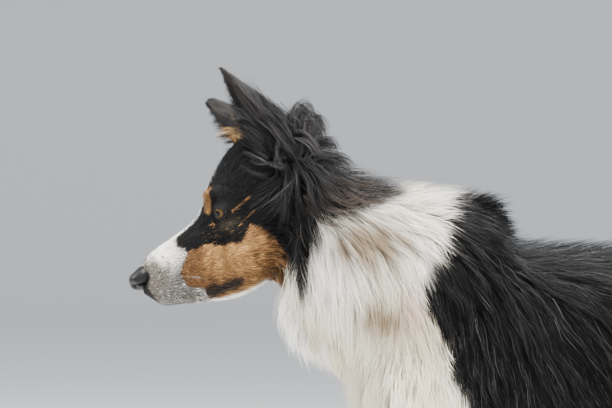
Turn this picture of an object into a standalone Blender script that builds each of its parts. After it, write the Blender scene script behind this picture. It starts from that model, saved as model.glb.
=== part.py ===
"""A standing Border Collie, life size, as a still model in solid pieces that include its coat.

Metres, +Z up. The dog faces -X with its left side towards -Y. While it is being built, X is
measured backwards from the withers and Z up from the ground; the last step moves the whole
animal so that the middle of its box stands over the origin.
"""

import math

import bmesh
import bpy
import numpy as np
from mathutils import Euler, Matrix, Vector

# ---------------------------------------------------------------- driving dimensions
GAP = 0.0003  # clearance between two pieces that touch
SIDES = {"left": -1.0, "right": 1.0}  # the sign of Y on each side of the body

HEAD_AT = Vector((-0.3814, 0.0, 0.488))  # tip of the nose
HEAD_PITCH = math.radians(26)  # nose down
HEAD_TURN = math.radians(4)  # nose turned towards the dog's left
HEAD_ROOT = Vector((-0.215, 0.0, 0.56))  # where the head turns on the neck

EYE_RADIUS = 0.0105
EYE_AT = Vector((0.1160, 0.0305, 0.0190))  # in the head's own frame, on its right side

FORE_PAW_AT = (-0.046, 0.075)  # middle of the paw, behind the withers and out from the middle
HIND_PAW_AT = (0.366, 0.080)
PAW_FLAT = 0.0022  # how far the pads are pressed flat on the ground

# Triangles left in each part once its fine mesh is thinned out
BODY_FACES = 1900
HEAD_FACES = 1050
PAW_FACES = 190
EAR_FACES = 200

COLOURS = {
    "black_coat": (0.022, 0.022, 0.024),
    "white_coat": (0.80, 0.77, 0.69),
    "tan_coat": (0.40, 0.20, 0.085),
    "nose_leather": (0.03, 0.03, 0.033),
    "eye": (0.20, 0.10, 0.035),
    "claw": (0.06, 0.05, 0.045),
}

# ---------------------------------------------------------------- outlines
# Each row is one cross-section. The surface between rows is a smooth curve through them.

# The barrel: distance behind the withers, top, underside, half width, height of the widest line
BARREL = (
    (-0.166, 0.408, 0.350, 0.040, 0.50),
    (-0.150, 0.455, 0.318, 0.072, 0.52),
    (-0.110, 0.500, 0.278, 0.098, 0.55),
    (-0.050, 0.528, 0.250, 0.112, 0.58),
    (0.020, 0.532, 0.238, 0.120, 0.56),
    (0.100, 0.531, 0.240, 0.127, 0.53),
    (0.180, 0.531, 0.262, 0.122, 0.52),
    (0.260, 0.532, 0.296, 0.106, 0.52),
    (0.330, 0.528, 0.310, 0.104, 0.55),
    (0.385, 0.508, 0.322, 0.098, 0.58),
    (0.425, 0.478, 0.352, 0.076, 0.58),
    (0.446, 0.445, 0.385, 0.042, 0.55),
)
# The neck with its ruff and the mane that stands up over the withers, in the same columns
NECK = (
    (-0.2370, 0.605, 0.450, 0.050, 0.50),
    (-0.2310, 0.642, 0.428, 0.064, 0.50),
    (-0.2120, 0.663, 0.409, 0.078, 0.48),
    (-0.1900, 0.648, 0.399, 0.086, 0.46),
    (-0.1700, 0.622, 0.388, 0.091, 0.46),
    (-0.1450, 0.603, 0.372, 0.096, 0.46),
    (-0.1000, 0.590, 0.352, 0.102, 0.46),
    (-0.0500, 0.585, 0.338, 0.106, 0.48),
    (-0.0250, 0.573, 0.342, 0.103, 0.50),
    (-0.0080, 0.560, 0.350, 0.094, 0.50),
    (0.0060, 0.538, 0.370, 0.078, 0.50),
)
# A foreleg: height, front edge, back edge, distance of its middle from the body's middle, half width
FORELEG = (
    (0.425, -0.125, 0.010, 0.070, 0.032),
    (0.370, -0.145, 0.022, 0.080, 0.038),
    (0.320, -0.112, 0.030, 0.084, 0.036),
    (0.275, -0.070, 0.034, 0.082, 0.031),
    (0.235, -0.052, 0.031, 0.079, 0.026),
    (0.180, -0.045, 0.022, 0.077, 0.0225),
    (0.130, -0.044, 0.010, 0.076, 0.0205),
    (0.090, -0.040, 0.002, 0.076, 0.0185),
    (0.055, -0.046, -0.004, 0.076, 0.0195),
    (0.030, -0.056, -0.010, 0.076, 0.0190),
)
# A hind leg, with the long hair behind the thigh, in the same columns
HINDLEG = (
    (0.470, 0.270, 0.405, 0.062, 0.036),
    (0.420, 0.238, 0.436, 0.074, 0.043),
    (0.360, 0.224, 0.447, 0.083, 0.042),
    (0.310, 0.226, 0.438, 0.086, 0.038),
    (0.265, 0.248, 0.424, 0.086, 0.032),
    (0.220, 0.290, 0.420, 0.084, 0.026),
    (0.180, 0.334, 0.425, 0.082, 0.0215),
    (0.145, 0.366, 0.430, 0.080, 0.0190),
    (0.105, 0.374, 0.416, 0.080, 0.0170),
    (0.060, 0.364, 0.404, 0.080, 0.0175),
    (0.030, 0.350, 0.396, 0.080, 0.0180),
)
# The tail: middle of the section behind the withers, its height, half width, half depth
TAIL = (
    (0.400, 0.478, 0.026, 0.026),
    (0.440, 0.455, 0.028, 0.028),
    (0.472, 0.405, 0.032, 0.034),
    (0.489, 0.345, 0.037, 0.043),
    (0.498, 0.280, 0.039, 0.048),
    (0.510, 0.220, 0.036, 0.044),
    (0.531, 0.172, 0.028, 0.034),
    (0.560, 0.142, 0.016, 0.020),
    (0.584, 0.130, 0.006, 0.008),
)
# The head in its own frame, where +X runs back from the tip of the nose and +Z is its top:
# distance back, top, underside, half width, height of the widest line
SKULL = (
    (0.0045, 0.0030, -0.0140, 0.0085, 0.50),
    (0.0110, 0.0085, -0.0240, 0.0135, 0.50),
    (0.0180, 0.0115, -0.0320, 0.0165, 0.46),
    (0.0280, 0.0142, -0.0395, 0.0190, 0.44),
    (0.0420, 0.0170, -0.0455, 0.0212, 0.44),
    (0.0640, 0.0200, -0.0530, 0.0240, 0.44),
    (0.0820, 0.0240, -0.0605, 0.0285, 0.44),
    (0.0960, 0.0330, -0.0640, 0.0335, 0.43),
    (0.1080, 0.0470, -0.0640, 0.0380, 0.44),
    (0.1220, 0.0590, -0.0635, 0.0430, 0.45),
    (0.1410, 0.0710, -0.0620, 0.0510, 0.46),
    (0.1650, 0.0800, -0.0580, 0.0590, 0.46),
    (0.1880, 0.0840, -0.0520, 0.0625, 0.46),
    (0.2110, 0.0800, -0.0450, 0.0600, 0.46),
    (0.2320, 0.0620, -0.0350, 0.0460, 0.48),
    (0.2450, 0.0350, -0.0150, 0.0220, 0.50),
)
# The lower jaw, in the head's frame and the same columns
JAW = (
    (0.0150, -0.0220, -0.0320, 0.0070, 0.50),
    (0.0230, -0.0220, -0.0400, 0.0115, 0.50),
    (0.0400, -0.0230, -0.0475, 0.0155, 0.48),
    (0.0610, -0.0260, -0.0555, 0.0195, 0.46),
    (0.0880, -0.0260, -0.0645, 0.0260, 0.46),
    (0.1080, -0.0200, -0.0655, 0.0330, 0.46),
    (0.1350, -0.0150, -0.0630, 0.0420, 0.46),
)
MOUTH_FRONT = Vector((0.0120, 0.0, -0.0214))  # the lips' line, in the head's frame
MOUTH_CORNER = Vector((0.0980, 0.0, -0.0505))
MOUTH_SAG = 0.0075  # how far the line of the lips hangs below a straight one

# An ear: how far up it, half width, depth of the cup, wall, half angle of the cup in degrees
EAR = (
    (0.00, 0.0250, 0.0350, 0.0090, 126),
    (0.20, 0.0255, 0.0315, 0.0085, 120),
    (0.40, 0.0235, 0.0250, 0.0075, 112),
    (0.60, 0.0190, 0.0180, 0.0065, 102),
    (0.78, 0.0135, 0.0115, 0.0055, 92),
    (0.92, 0.0080, 0.0062, 0.0045, 80),
    (1.00, 0.0040, 0.0030, 0.0035, 70),
)
# The line that each ear grows along, in the head's frame, on its own side: back, out, up.
# The left one stands up and the right one's tip is bent over forwards.
EAR_LINES = {
    "left": ((0.187, 0.035, 0.045), (0.185, 0.041, 0.070), (0.179, 0.047, 0.096), (0.1730, 0.052, 0.123), (0.1700, 0.055, 0.1480)),
    "right": ((0.178, 0.035, 0.045), (0.171, 0.041, 0.070), (0.162, 0.047, 0.092), (0.1550, 0.052, 0.111), (0.1475, 0.056, 0.126)),
}
EAR_SHARE = {"left": 1.0, "right": 0.87}  # how much of the cup stands before the tip is folded over
EAR_FACES_OUT = math.radians(16)  # how far the opening turns out from straight ahead


# ---------------------------------------------------------------- making shapes
def clear_scene():
    for obj in list(bpy.data.objects):
        bpy.data.objects.remove(obj, do_unlink=True)


def material(name):
    """The named coat, horn or leather, made once."""
    found = bpy.data.materials.get(name)
    if found:
        return found
    made = bpy.data.materials.new(name)
    made.use_nodes = True
    shader = made.node_tree.nodes["Principled BSDF"]
    shader.inputs["Base Color"].default_value = (*COLOURS[name], 1.0)
    shader.inputs["Roughness"].default_value = 0.25 if name in ("eye", "nose_leather") else 0.8
    return made


def new_object(name, mesh, finish="black_coat"):
    obj = bpy.data.objects.new(name, mesh)
    bpy.context.scene.collection.objects.link(obj)
    mesh.materials.clear()
    mesh.materials.append(material(finish))
    return obj


def smooth_rows(rows, steps):
    """The rows of a table with steps - 1 more between each two, on a Catmull-Rom curve through them."""
    keys = np.array(rows, float)
    keys = np.vstack([2 * keys[0] - keys[1], keys, 2 * keys[-1] - keys[-2]])
    made = []
    for i in range(1, len(keys) - 2):
        before, start, end, after = keys[i - 1], keys[i], keys[i + 1], keys[i + 2]
        for t in np.arange(steps) / steps:
            made.append(
                0.5
                * (
                    2 * start
                    + (end - before) * t
                    + (2 * before - 5 * start + 4 * end - after) * t**2
                    + (3 * start - before - 3 * end + after) * t**3
                )
            )
    made.append(keys[-2])
    return made


def oval(centre, across, up, wide, above, below, corners=24, power=2.2):
    """A closed ring with one half width and its own height above and below the widest line."""
    ring = []
    for i in range(corners):
        turn = 2 * math.pi * i / corners
        c, s = math.cos(turn), math.sin(turn)
        c = math.copysign(abs(c) ** (2 / power), c)
        s = math.copysign(abs(s) ** (2 / power), s)
        ring.append(centre + across * (wide * c) + up * ((above if s > 0 else below) * s))
    return ring


def skin_over(name, rings, finish="black_coat"):
    """A closed body through a row of rings that all have the same number of corners."""
    bm = bmesh.new()
    loops = [[bm.verts.new(point) for point in ring] for ring in rings]
    count = len(loops[0])
    for ring, following in zip(loops, loops[1:]):
        for i in range(count):
            j = (i + 1) % count
            bm.faces.new((ring[i], ring[j], following[j], following[i]))
    bm.faces.new(reversed(loops[0]))
    bm.faces.new(loops[-1])
    bmesh.ops.recalc_face_normals(bm, faces=bm.faces)
    mesh = bpy.data.meshes.new(name)
    bm.to_mesh(mesh)
    bm.free()
    return new_object(name, mesh, finish)


def along_body(name, table, steps=4, corners=24):
    """A body of upright sections one behind the other, from a table such as BARREL."""
    rings = []
    for x, top, bottom, wide, level in smooth_rows(table, steps):
        middle = bottom + level * (top - bottom)
        rings.append(
            oval(Vector((x, 0, middle)), Vector((0, 1, 0)), Vector((0, 0, 1)), wide, top - middle, middle - bottom, corners)
        )
    return skin_over(name, rings)


def down_leg(name, table, side):
    """A leg of level sections one below the other, from a table such as FORELEG."""
    rings = []
    for z, front, back, out, half in smooth_rows(table, 4):
        middle = 0.55 * front + 0.45 * back
        rings.append(
            oval(Vector((middle, side * out, z)), Vector((0, 1, 0)), Vector((1, 0, 0)), half, back - middle, middle - front, 20)
        )
    return skin_over(name, rings)


def along_tail(name, table):
    """The tail's sections, each set square to the line through their middles."""
    rows = smooth_rows(table, 2)
    rings = []
    for i, (x, z, wide, deep) in enumerate(rows):
        before, after = rows[max(i - 1, 0)], rows[min(i + 1, len(rows) - 1)]
        along = Vector((after[0] - before[0], 0, after[1] - before[1])).normalized()
        up = Vector((-along.z, 0, along.x))
        rings.append(oval(Vector((x, 0, z)), Vector((0, 1, 0)), up, wide, deep, deep, 12))
    return skin_over(name, rings)


def ball(name, centre, radii, turned=(0, 0, 0), segments=20):
    """An ellipsoid, turned by Euler angles."""
    bm = bmesh.new()
    bmesh.ops.create_uvsphere(bm, u_segments=segments, v_segments=segments // 2, radius=1.0)
    place = Matrix.Translation(centre) @ Euler(turned).to_matrix().to_4x4() @ Matrix.Diagonal((*radii, 1.0))
    bm.transform(place)
    mesh = bpy.data.meshes.new(name)
    bm.to_mesh(mesh)
    bm.free()
    return new_object(name, mesh)


def settle(obj):
    """Replaces the object's mesh by what its modifiers make of it."""
    bpy.context.view_layer.update()
    graph = bpy.context.evaluated_depsgraph_get()
    mesh = bpy.data.meshes.new_from_object(obj.evaluated_get(graph))
    obj.modifiers.clear()
    obj.data = mesh
    return obj


def joined(name, objects):
    """One object that holds the meshes of them all."""
    bm = bmesh.new()
    for obj in objects:
        bm.from_mesh(obj.data)
    mesh = bpy.data.meshes.new(name)
    bm.to_mesh(mesh)
    bm.free()
    for obj in objects:
        bpy.data.objects.remove(obj)
    return new_object(name, mesh)


def grown_together(name, objects, voxel, rounds, faces):
    """Overlapping shapes merged into one smooth body of about this many triangles."""
    obj = joined(name, objects)
    remesh = obj.modifiers.new("merge", "REMESH")
    remesh.mode = "VOXEL"
    remesh.voxel_size = voxel
    smooth = obj.modifiers.new("soften", "SMOOTH")
    smooth.factor = 0.5
    smooth.iterations = rounds
    settle(obj)
    thin_out(obj, faces)
    return obj


def thin_out(obj, faces):
    thin = obj.modifiers.new("thin_out", "DECIMATE")
    thin.ratio = faces / (2 * len(obj.data.polygons))
    thin.use_collapse_triangulate = True
    settle(obj)


def swollen(obj, by=GAP):
    """A copy whose faces stand out by this much, for cutting a seat that leaves a gap."""
    copy = obj.copy()
    copy.data = obj.data.copy()
    bpy.context.scene.collection.objects.link(copy)
    bm = bmesh.new()
    bm.from_mesh(copy.data)
    bm.normal_update()
    for vertex in bm.verts:
        vertex.co += vertex.normal * (by * vertex.calc_shell_factor())
    bm.to_mesh(copy.data)
    bm.free()
    return copy


def boolean(obj, tool, operation):
    cut = obj.modifiers.new(operation, "BOOLEAN")
    cut.operation = operation
    cut.object = tool
    settle(obj)
    keep_largest(obj)


def keep_largest(obj):
    """Drops the crumbs that a cut may leave."""
    bm = bmesh.new()
    bm.from_mesh(obj.data)
    todo, islands = set(bm.verts), []
    while todo:
        island, edge = set(), [todo.pop()]
        while edge:
            vertex = edge.pop()
            island.add(vertex)
            for link in vertex.link_edges:
                other = link.other_vert(vertex)
                if other in todo:
                    todo.discard(other)
                    edge.append(other)
        islands.append(island)
    islands.sort(key=len)
    for island in islands[:-1]:
        bmesh.ops.delete(bm, geom=list(island), context="VERTS")
    bm.to_mesh(obj.data)
    bm.free()


def carve(obj, *tools):
    """Cuts a seat for each tool out of obj, with a gap all round it."""
    for tool in tools:
        cutter = swollen(tool)
        boolean(obj, cutter, "DIFFERENCE")
        bpy.data.objects.remove(cutter)
    return obj


def prism(name, outline, start, end, axes):
    """A straight-sided block: an outline in two axes, run from start to end along the third."""
    first, second, along = ("XYZ".index(axis) for axis in axes)
    bm = bmesh.new()
    loops = []
    for at in (start, end):
        loop = []
        for a, b in outline:
            point = [0.0, 0.0, 0.0]
            point[first], point[second], point[along] = a, b, at
            loop.append(bm.verts.new(point))
        loops.append(loop)
    count = len(outline)
    for i in range(count):
        j = (i + 1) % count
        bm.faces.new((loops[0][i], loops[0][j], loops[1][j], loops[1][i]))
    bm.faces.new(reversed(loops[0]))
    bm.faces.new(loops[1])
    bmesh.ops.recalc_face_normals(bm, faces=bm.faces)
    mesh = bpy.data.meshes.new(name)
    bm.to_mesh(mesh)
    bm.free()
    return new_object(name, mesh)


def part_off(body, name, region, finish="black_coat"):
    """Takes what lies in the region off the body as a piece of its own, with a thin cut between."""
    piece = body.copy()
    piece.data = body.data.copy()
    bpy.context.scene.collection.objects.link(piece)
    piece.name = name
    piece.data.name = name
    boolean(piece, region, "INTERSECT")
    carve(body, region)
    bpy.data.objects.remove(region)
    piece.data.materials.clear()
    piece.data.materials.append(material(finish))
    return piece


# ---------------------------------------------------------------- the head
def head_frame():
    """Where the head's own frame stands in the body's."""
    turn = (
        Matrix.Translation(HEAD_ROOT)
        @ Matrix.Rotation(HEAD_TURN, 4, "Z")
        @ Matrix.Translation(-HEAD_ROOT)
    )
    return turn @ Matrix.Translation(HEAD_AT) @ Matrix.Rotation(-HEAD_PITCH, 4, "Y")


def mirrored(point, side):
    return Vector((point[0], side * point[1], point[2]))


def make_head():
    """The skull and muzzle with brows and cheeks, and the lower jaw as a piece of its own."""
    lumps = [along_body("skull", SKULL, corners=28)]
    for side in SIDES.values():
        lumps.append(ball("brow", mirrored((0.1185, 0.0215, 0.0345), side), (0.0200, 0.0175, 0.0125), (0, 0.45, 0)))
        lumps.append(ball("cheek", mirrored((0.148, 0.033, -0.022), side), (0.052, 0.0235, 0.036)))
        lumps.append(ball("lip", mirrored((0.038, 0.0125, -0.0235), side), (0.025, 0.0098, 0.0150)))
    lumps.append(along_body("jaw", JAW))
    head = grown_together("head", lumps, 0.0025, 16, HEAD_FACES)
    jaw = part_off(head, "lower_jaw", mouth_block(), "white_coat")
    return head, jaw


def mouth_block():
    """The space below the line of the lips, as far back as their corner."""
    count = 8
    line = []
    for i in range(count + 1):
        t = i / count
        point = MOUTH_FRONT.lerp(MOUTH_CORNER, t)
        line.append((point.x, point.z - MOUTH_SAG * 4 * t * (1 - t)))
    start, end = line[0], line[-1]
    below = -0.09
    outline = [(start[0] - 0.02, start[1] - 0.004), *line, (end[0] + 0.006, below), (start[0] - 0.02, below)]
    return prism("mouth", outline, -0.06, 0.06, "XZY")


def make_nose():
    """The leather at the tip of the muzzle, with two nostrils that open forwards and out."""
    sections = (
        (-0.0010, -0.0005, -0.0105, 0.0075, 0.50),
        (0.0020, 0.0030, -0.0135, 0.0120, 0.52),
        (0.0080, 0.0066, -0.0150, 0.0150, 0.52),
        (0.0150, 0.0088, -0.0140, 0.0150, 0.54),
        (0.0190, 0.0085, -0.0090, 0.0120, 0.55),
    )
    nose = along_body("nose", sections, steps=2, corners=12)
    for side in SIDES.values():
        nostril = ball("nostril", mirrored((0.0015, 0.0078, -0.0030), side), (0.0060, 0.0028, 0.0034), (0, 0, -0.5 * side), 8)
        boolean(nose, nostril, "DIFFERENCE")
        slit = ball("slit", mirrored((0.0075, 0.0150, -0.0050), side), (0.0060, 0.0016, 0.0022), (0, 0.35, 0), 8)
        boolean(nose, slit, "DIFFERENCE")
        bpy.data.objects.remove(nostril)
        bpy.data.objects.remove(slit)
    return nose


def make_eye(name, side):
    eye = ball(name, mirrored(EYE_AT, side), (EYE_RADIUS,) * 3, segments=12)
    eye.data.materials.clear()
    eye.data.materials.append(material("eye"))
    return eye


def ear_section(centre, across, forwards, row):
    """One curved wall of the ear: round the outside of the cup and back along its inside."""
    _, wide, deep, wall, degrees = row
    half_angle = math.radians(degrees)
    count = 9
    rings = []
    for inner in (False, True):
        shrink = wall if inner else 0.0
        for i in range(count):
            turn = half_angle * (2 * i / (count - 1) - 1)
            if inner:
                turn = -turn * 0.97
            a = max(wide - shrink, 0.0006) * math.sin(turn)
            b = max(deep - shrink, 0.0006) * math.cos(turn)
            rings.append(centre + across * a - forwards * b)
    return rings


def make_ear(name, side):
    """A pointed cup that opens forwards and out, along its own line."""
    line = smooth_rows([mirrored(p, side)[:] for p in EAR_LINES[name]], 4)
    opening = Vector((-math.cos(EAR_FACES_OUT), side * math.sin(EAR_FACES_OUT), 0))
    spans = [Vector(b) - Vector(a) for a, b in zip(line, line[1:])]
    lengths = np.concatenate([[0], np.cumsum([s.length for s in spans])])
    rings = []
    for row in smooth_rows(EAR, 2):
        if row[0] > EAR_SHARE[name]:
            break
        at = row[0] / EAR_SHARE[name] * lengths[-1]
        i = min(int(np.searchsorted(lengths, at, side="right")) - 1, len(spans) - 1)
        centre = Vector(line[i]) + spans[i] * ((at - lengths[i]) / spans[i].length)
        near = slice(max(i - 2, 0), i + 3)
        along = sum(spans[near], Vector()).normalized()
        across = along.cross(opening).normalized()
        forwards = across.cross(along).normalized()
        rings.append(ear_section(centre, across, forwards, row))
    ear = skin_over(f"ear_{name}", rings)
    remesh = ear.modifiers.new("merge", "REMESH")
    remesh.mode = "VOXEL"
    remesh.voxel_size = 0.0012
    smooth = ear.modifiers.new("soften", "SMOOTH")
    smooth.iterations = 4
    settle(ear)
    thin_out(ear, EAR_FACES)
    return ear


# ---------------------------------------------------------------- the paws
TOES = ((-0.0215, 0.0188), (-0.0325, 0.0072), (-0.0325, -0.0072), (-0.0215, -0.0188))  # forwards and out
TOE_RADII = (0.0170, 0.0090, 0.0150)
PASTERN_CUT = 0.046  # height where paw and leg meet


def make_paw(name, at, side):
    """Four toes and a heel pad under a low arch, pressed flat where they stand."""
    x, out = at
    middle = Vector((x, side * out, 0))
    lumps = [
        ball("arch", middle + Vector((-0.002, 0, 0.024)), (0.030, 0.0235, 0.020)),
        ball("heel", middle + Vector((0.015, 0, 0.016)), (0.021, 0.0200, 0.0180)),
        ball("pastern", middle + Vector((0.015, 0, 0.046)), (0.0225, 0.0200, 0.030), (0, -0.3, 0)),
    ]
    for toe in TOES:
        spread = math.atan2(toe[1], -toe[0]) * 0.35
        lumps.append(ball("toe", middle + Vector((toe[0], toe[1] * side, 0.0142)), TOE_RADII, (0, 0.22, -spread * side)))
        lumps.append(
            ball("toe_tip", middle + Vector((toe[0] - 0.0075, toe[1] * side * 1.05, 0.0095)), (0.0095, 0.0078, 0.0095))
        )
    paw = grown_together(name, lumps, 0.0018, 3, PAW_FACES)
    ground = prism("ground", ((-1, -0.1), (1, -0.1), (1, PAW_FLAT), (-1, PAW_FLAT)), -1, 1, "XZY")
    boolean(paw, ground, "DIFFERENCE")
    bpy.data.objects.remove(ground)
    paw.data.transform(Matrix.Translation((0, 0, -PAW_FLAT)))
    top = prism("top", ((-1, PASTERN_CUT), (1, PASTERN_CUT), (1, 0.2), (-1, 0.2)), -1, 1, "XZY")
    boolean(paw, top, "DIFFERENCE")
    bpy.data.objects.remove(top)
    paint(paw, "white_coat")
    return paw



def paint(obj, finish):
    obj.data.materials.clear()
    obj.data.materials.append(material(finish))


def make_claw(name, root, side, spread):
    """A short blunt hook that leaves the toe forwards and curves down."""
    rings = []
    steps = 4
    for i in range(steps + 1):
        t = i / steps
        turn = math.radians(-8 + 62 * t)
        reach = 0.0165 * t
        centre = Vector((-reach * math.cos(turn / 2), 0, -reach * math.sin(turn / 2)))
        along = Vector((-math.cos(turn), 0, -math.sin(turn)))
        up = Vector((-along.z, 0, along.x))
        size = 0.0031 * (1 - 0.78 * t**1.5)
        rings.append(oval(centre, Vector((0, 1, 0)), up, size * 0.8, size, size, 6, 2.0))
    claw = skin_over(name, rings, "claw")
    claw.data.transform(Matrix.Translation(root) @ Matrix.Rotation(-spread * side, 4, "Z"))
    return claw


def make_claws(prefix, paw, at, side):
    """One claw for each toe, seated in the paw."""
    x, out = at
    made = []
    for number, toe in enumerate(TOES, start=1):
        spread = math.atan2(toe[1], -toe[0]) * 0.35
        root = Vector((x + toe[0] - 0.0105, side * (out + toe[1] * 1.05), 0.0135))
        claw = make_claw(f"claw_{prefix}_{number}", root, side, spread)
        carve(claw, paw)
        made.append(claw)
    return made


# ---------------------------------------------------------------- the body and its cuts
LEG_CUTS = {
    # how far out the cut starts, the height of the armpit or groin, and the shoulder's or hip's top and reach
    "foreleg": {"inner": 0.040, "armpit": 0.262, "top": 0.405, "reach": 0.125, "span": (-0.21, 0.052)},
    "hindleg": {"inner": 0.032, "armpit": 0.315, "top": 0.452, "reach": 0.120, "span": (0.212, 0.52)},
}
KNEES = {"foreleg": 0.128, "hindleg": 0.160}  # where the lower leg is parted: at the wrist and the hock
NECK_CUT = ((0.004, 0.64), (-0.176, 0.33))  # from over the withers down to the front of the chest
LOIN_CUT = 0.205
TAIL_CUT = 0.30  # height where the tail's brush is parted from its root


def leg_block(kind, side):
    cut = LEG_CUTS[kind]
    inner, reach = side * cut["inner"], side * cut["reach"]
    outer = side * 0.30
    outline = ((inner, -0.1), (inner, cut["armpit"]), (reach, cut["top"]), (outer, cut["top"]), (outer, -0.1))
    return prism("leg_block", outline, *cut["span"], "YZX")


def level_block(bottom, top):
    return prism("level", ((-1, bottom), (1, bottom), (1, top), (-1, top)), -1, 1, "XZY")


def make_body():
    lumps = [along_body("barrel", BARREL), along_body("neck", NECK)]
    for side in SIDES.values():
        lumps.append(down_leg("foreleg", FORELEG, side))
        lumps.append(down_leg("hindleg", HINDLEG, side))
    return grown_together("body", lumps, 0.005, 10, BODY_FACES)


def part_legs(body):
    pieces = []
    for kind, names in (("foreleg", ("upper_arm", "forearm", "pastern")), ("hindleg", ("thigh", "shank", "pastern"))):
        for word, side in SIDES.items():
            leg = part_off(body, f"{kind}_{word}_{names[0]}", leg_block(kind, side))
            carve_level(leg, -1, PASTERN_CUT)
            middle = 0.25 if kind == "foreleg" else 0.262
            lower = part_off(leg, f"{kind}_{word}_{names[2]}", level_block(-1, KNEES[kind]), "white_coat")
            shin = part_off(leg, f"{kind}_{word}_{names[1]}", level_block(-1, middle), "white_coat")
            pieces += [leg, shin, lower]
    return pieces


def carve_level(obj, bottom, top):
    block = level_block(bottom, top)
    carve(obj, block)
    bpy.data.objects.remove(block)


def make_tail():
    tail = along_tail("tail_brush", TAIL)
    root = part_off(tail, "tail_root", level_block(TAIL_CUT, 1))
    return root, tail


def stand_on_origin():
    """Moves everything so that the middle of its box is over the origin and its feet are at 0."""
    meshes = [obj for obj in bpy.data.objects if obj.type == "MESH"]
    points = np.array([obj.matrix_world @ v.co for obj in meshes for v in obj.data.vertices])
    low, high = points.min(0), points.max(0)
    middle = (low + high) / 2
    move = Matrix.Translation((-middle[0], -middle[1], -low[2]))
    for obj in meshes:
        obj.data.transform(move)


def main():
    clear_scene()
    head, jaw = make_head()
    nose = make_nose()
    paint(nose, "nose_leather")
    carve(head, nose)
    carve(jaw, nose)
    eyes = [make_eye(f"eye_{word}", side) for word, side in SIDES.items()]
    carve(head, *eyes)
    ears = [make_ear(word, side) for word, side in SIDES.items()]
    for ear in ears:
        carve(ear, head)
    frame = head_frame()
    for obj in (head, jaw, nose, *eyes, *ears):
        obj.data.transform(frame)

    body = make_body()
    carve(body, head, jaw, *ears)
    root, brush = make_tail()
    carve(body, root, brush)
    start, end = NECK_CUT
    outline = (start, end, (-0.6, end[1]), (-0.6, 1.0), (start[0], 1.0))
    part_off(body, "neck", prism("neck_block", outline, -1, 1, "XZY"), "white_coat")
    part_legs(body)
    rump = part_off(body, "rump", prism("rump_block", ((LOIN_CUT, -1), (1, -1), (1, 1), (LOIN_CUT, 1)), -1, 1, "XZY"))
    body.name = "ribcage"

    for word, side in SIDES.items():
        for kind, at in (("fore", FORE_PAW_AT), ("hind", HIND_PAW_AT)):
            paw = make_paw(f"{kind}paw_{word}", at, side)
            make_claws(f"{kind}_{word}", paw, at, side)
    stand_on_origin()
    for obj in bpy.data.objects:
        if obj.type == "MESH":
            obj.data.name = obj.name


main()
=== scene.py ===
"""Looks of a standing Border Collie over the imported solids: skin, coat, eyes, nose, claws and studio light.

The skin comes from the solids, which reach to the tips of the coat: it is their outline, smoothed and
drawn in by the depth of the coat. Every hair tuft then grows from it and lies back towards that outline.
"""

import math

import bmesh
import bpy
import numpy as np
from mathutils import Matrix, Vector
from mathutils.bvhtree import BVHTree


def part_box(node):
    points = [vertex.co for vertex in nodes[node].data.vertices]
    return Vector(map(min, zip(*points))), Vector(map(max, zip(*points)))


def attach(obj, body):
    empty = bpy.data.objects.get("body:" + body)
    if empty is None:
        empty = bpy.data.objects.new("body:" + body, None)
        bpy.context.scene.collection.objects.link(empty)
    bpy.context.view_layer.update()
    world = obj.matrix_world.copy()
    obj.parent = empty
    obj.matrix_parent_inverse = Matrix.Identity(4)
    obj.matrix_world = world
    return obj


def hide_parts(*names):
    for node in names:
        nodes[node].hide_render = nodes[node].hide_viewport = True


# ---------------------------------------------------------------- where things are
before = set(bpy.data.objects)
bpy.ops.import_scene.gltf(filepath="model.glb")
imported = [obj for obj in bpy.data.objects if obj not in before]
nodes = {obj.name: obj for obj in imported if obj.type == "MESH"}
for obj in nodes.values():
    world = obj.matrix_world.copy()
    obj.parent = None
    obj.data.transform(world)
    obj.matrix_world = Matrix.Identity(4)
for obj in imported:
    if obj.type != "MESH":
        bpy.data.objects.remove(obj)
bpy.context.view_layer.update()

EYE_IN_HEAD = np.array((0.1160, 0.0305, 0.0190))  # back, out, up from the tip of the nose
EYE_RADIUS = 0.0105
PITCH = math.radians(26)
HEAD_ROOT = np.array((-0.215, 0.0, 0.56))  # the point the head turns on, behind the withers and up
NOSE_TIP = np.array((-0.3814, 0.0, 0.488))


def node_centre(name):
    low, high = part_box(name)
    return (np.array(low) + np.array(high)) / 2


eye_left, eye_right = node_centre("eye_left"), node_centre("eye_right")
across = (eye_right - eye_left) / np.linalg.norm(eye_right - eye_left)
TURN = math.atan2(-across[0], across[1])
HEAD = np.array(Matrix.Rotation(TURN, 3, "Z") @ Matrix.Rotation(-PITCH, 3, "Y"))
EYE_MID = EYE_IN_HEAD * (1, 0, 1)
HEAD_ORIGIN = (eye_left + eye_right) / 2 - HEAD @ EYE_MID
TURNED = np.array(Matrix.Rotation(TURN, 3, "Z")) @ (NOSE_TIP - HEAD_ROOT) + HEAD_ROOT
WITHERS = HEAD_ORIGIN - TURNED  # the point on the floor under the withers


def in_head(points):
    """Back, out and up from the tip of the nose; out is positive on the dog's right."""
    return (points - HEAD_ORIGIN) @ HEAD


def from_head(points):
    return np.asarray(points, float) @ HEAD.T + HEAD_ORIGIN


def from_withers(points):
    return np.asarray(points, float) + WITHERS


# ---------------------------------------------------------------- small helpers
FULL_TURN = 6.283


def ease(low, high, value):
    """0 below low, 1 above high, smooth between."""
    t = np.clip((value - low) / (high - low), 0, 1)
    return t * t * (3 - 2 * t)


def unit(vectors):
    return vectors / np.maximum(np.linalg.norm(vectors, axis=-1, keepdims=True), 1e-12)


def linear(red, green, blue):
    """A colour as a screen shows it, 0 to 255, in the linear values that shaders take."""
    value = np.array((red, green, blue)) / 255
    return np.where(value < 0.04045, value / 12.92, ((value + 0.055) / 1.055) ** 2.4)


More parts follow.
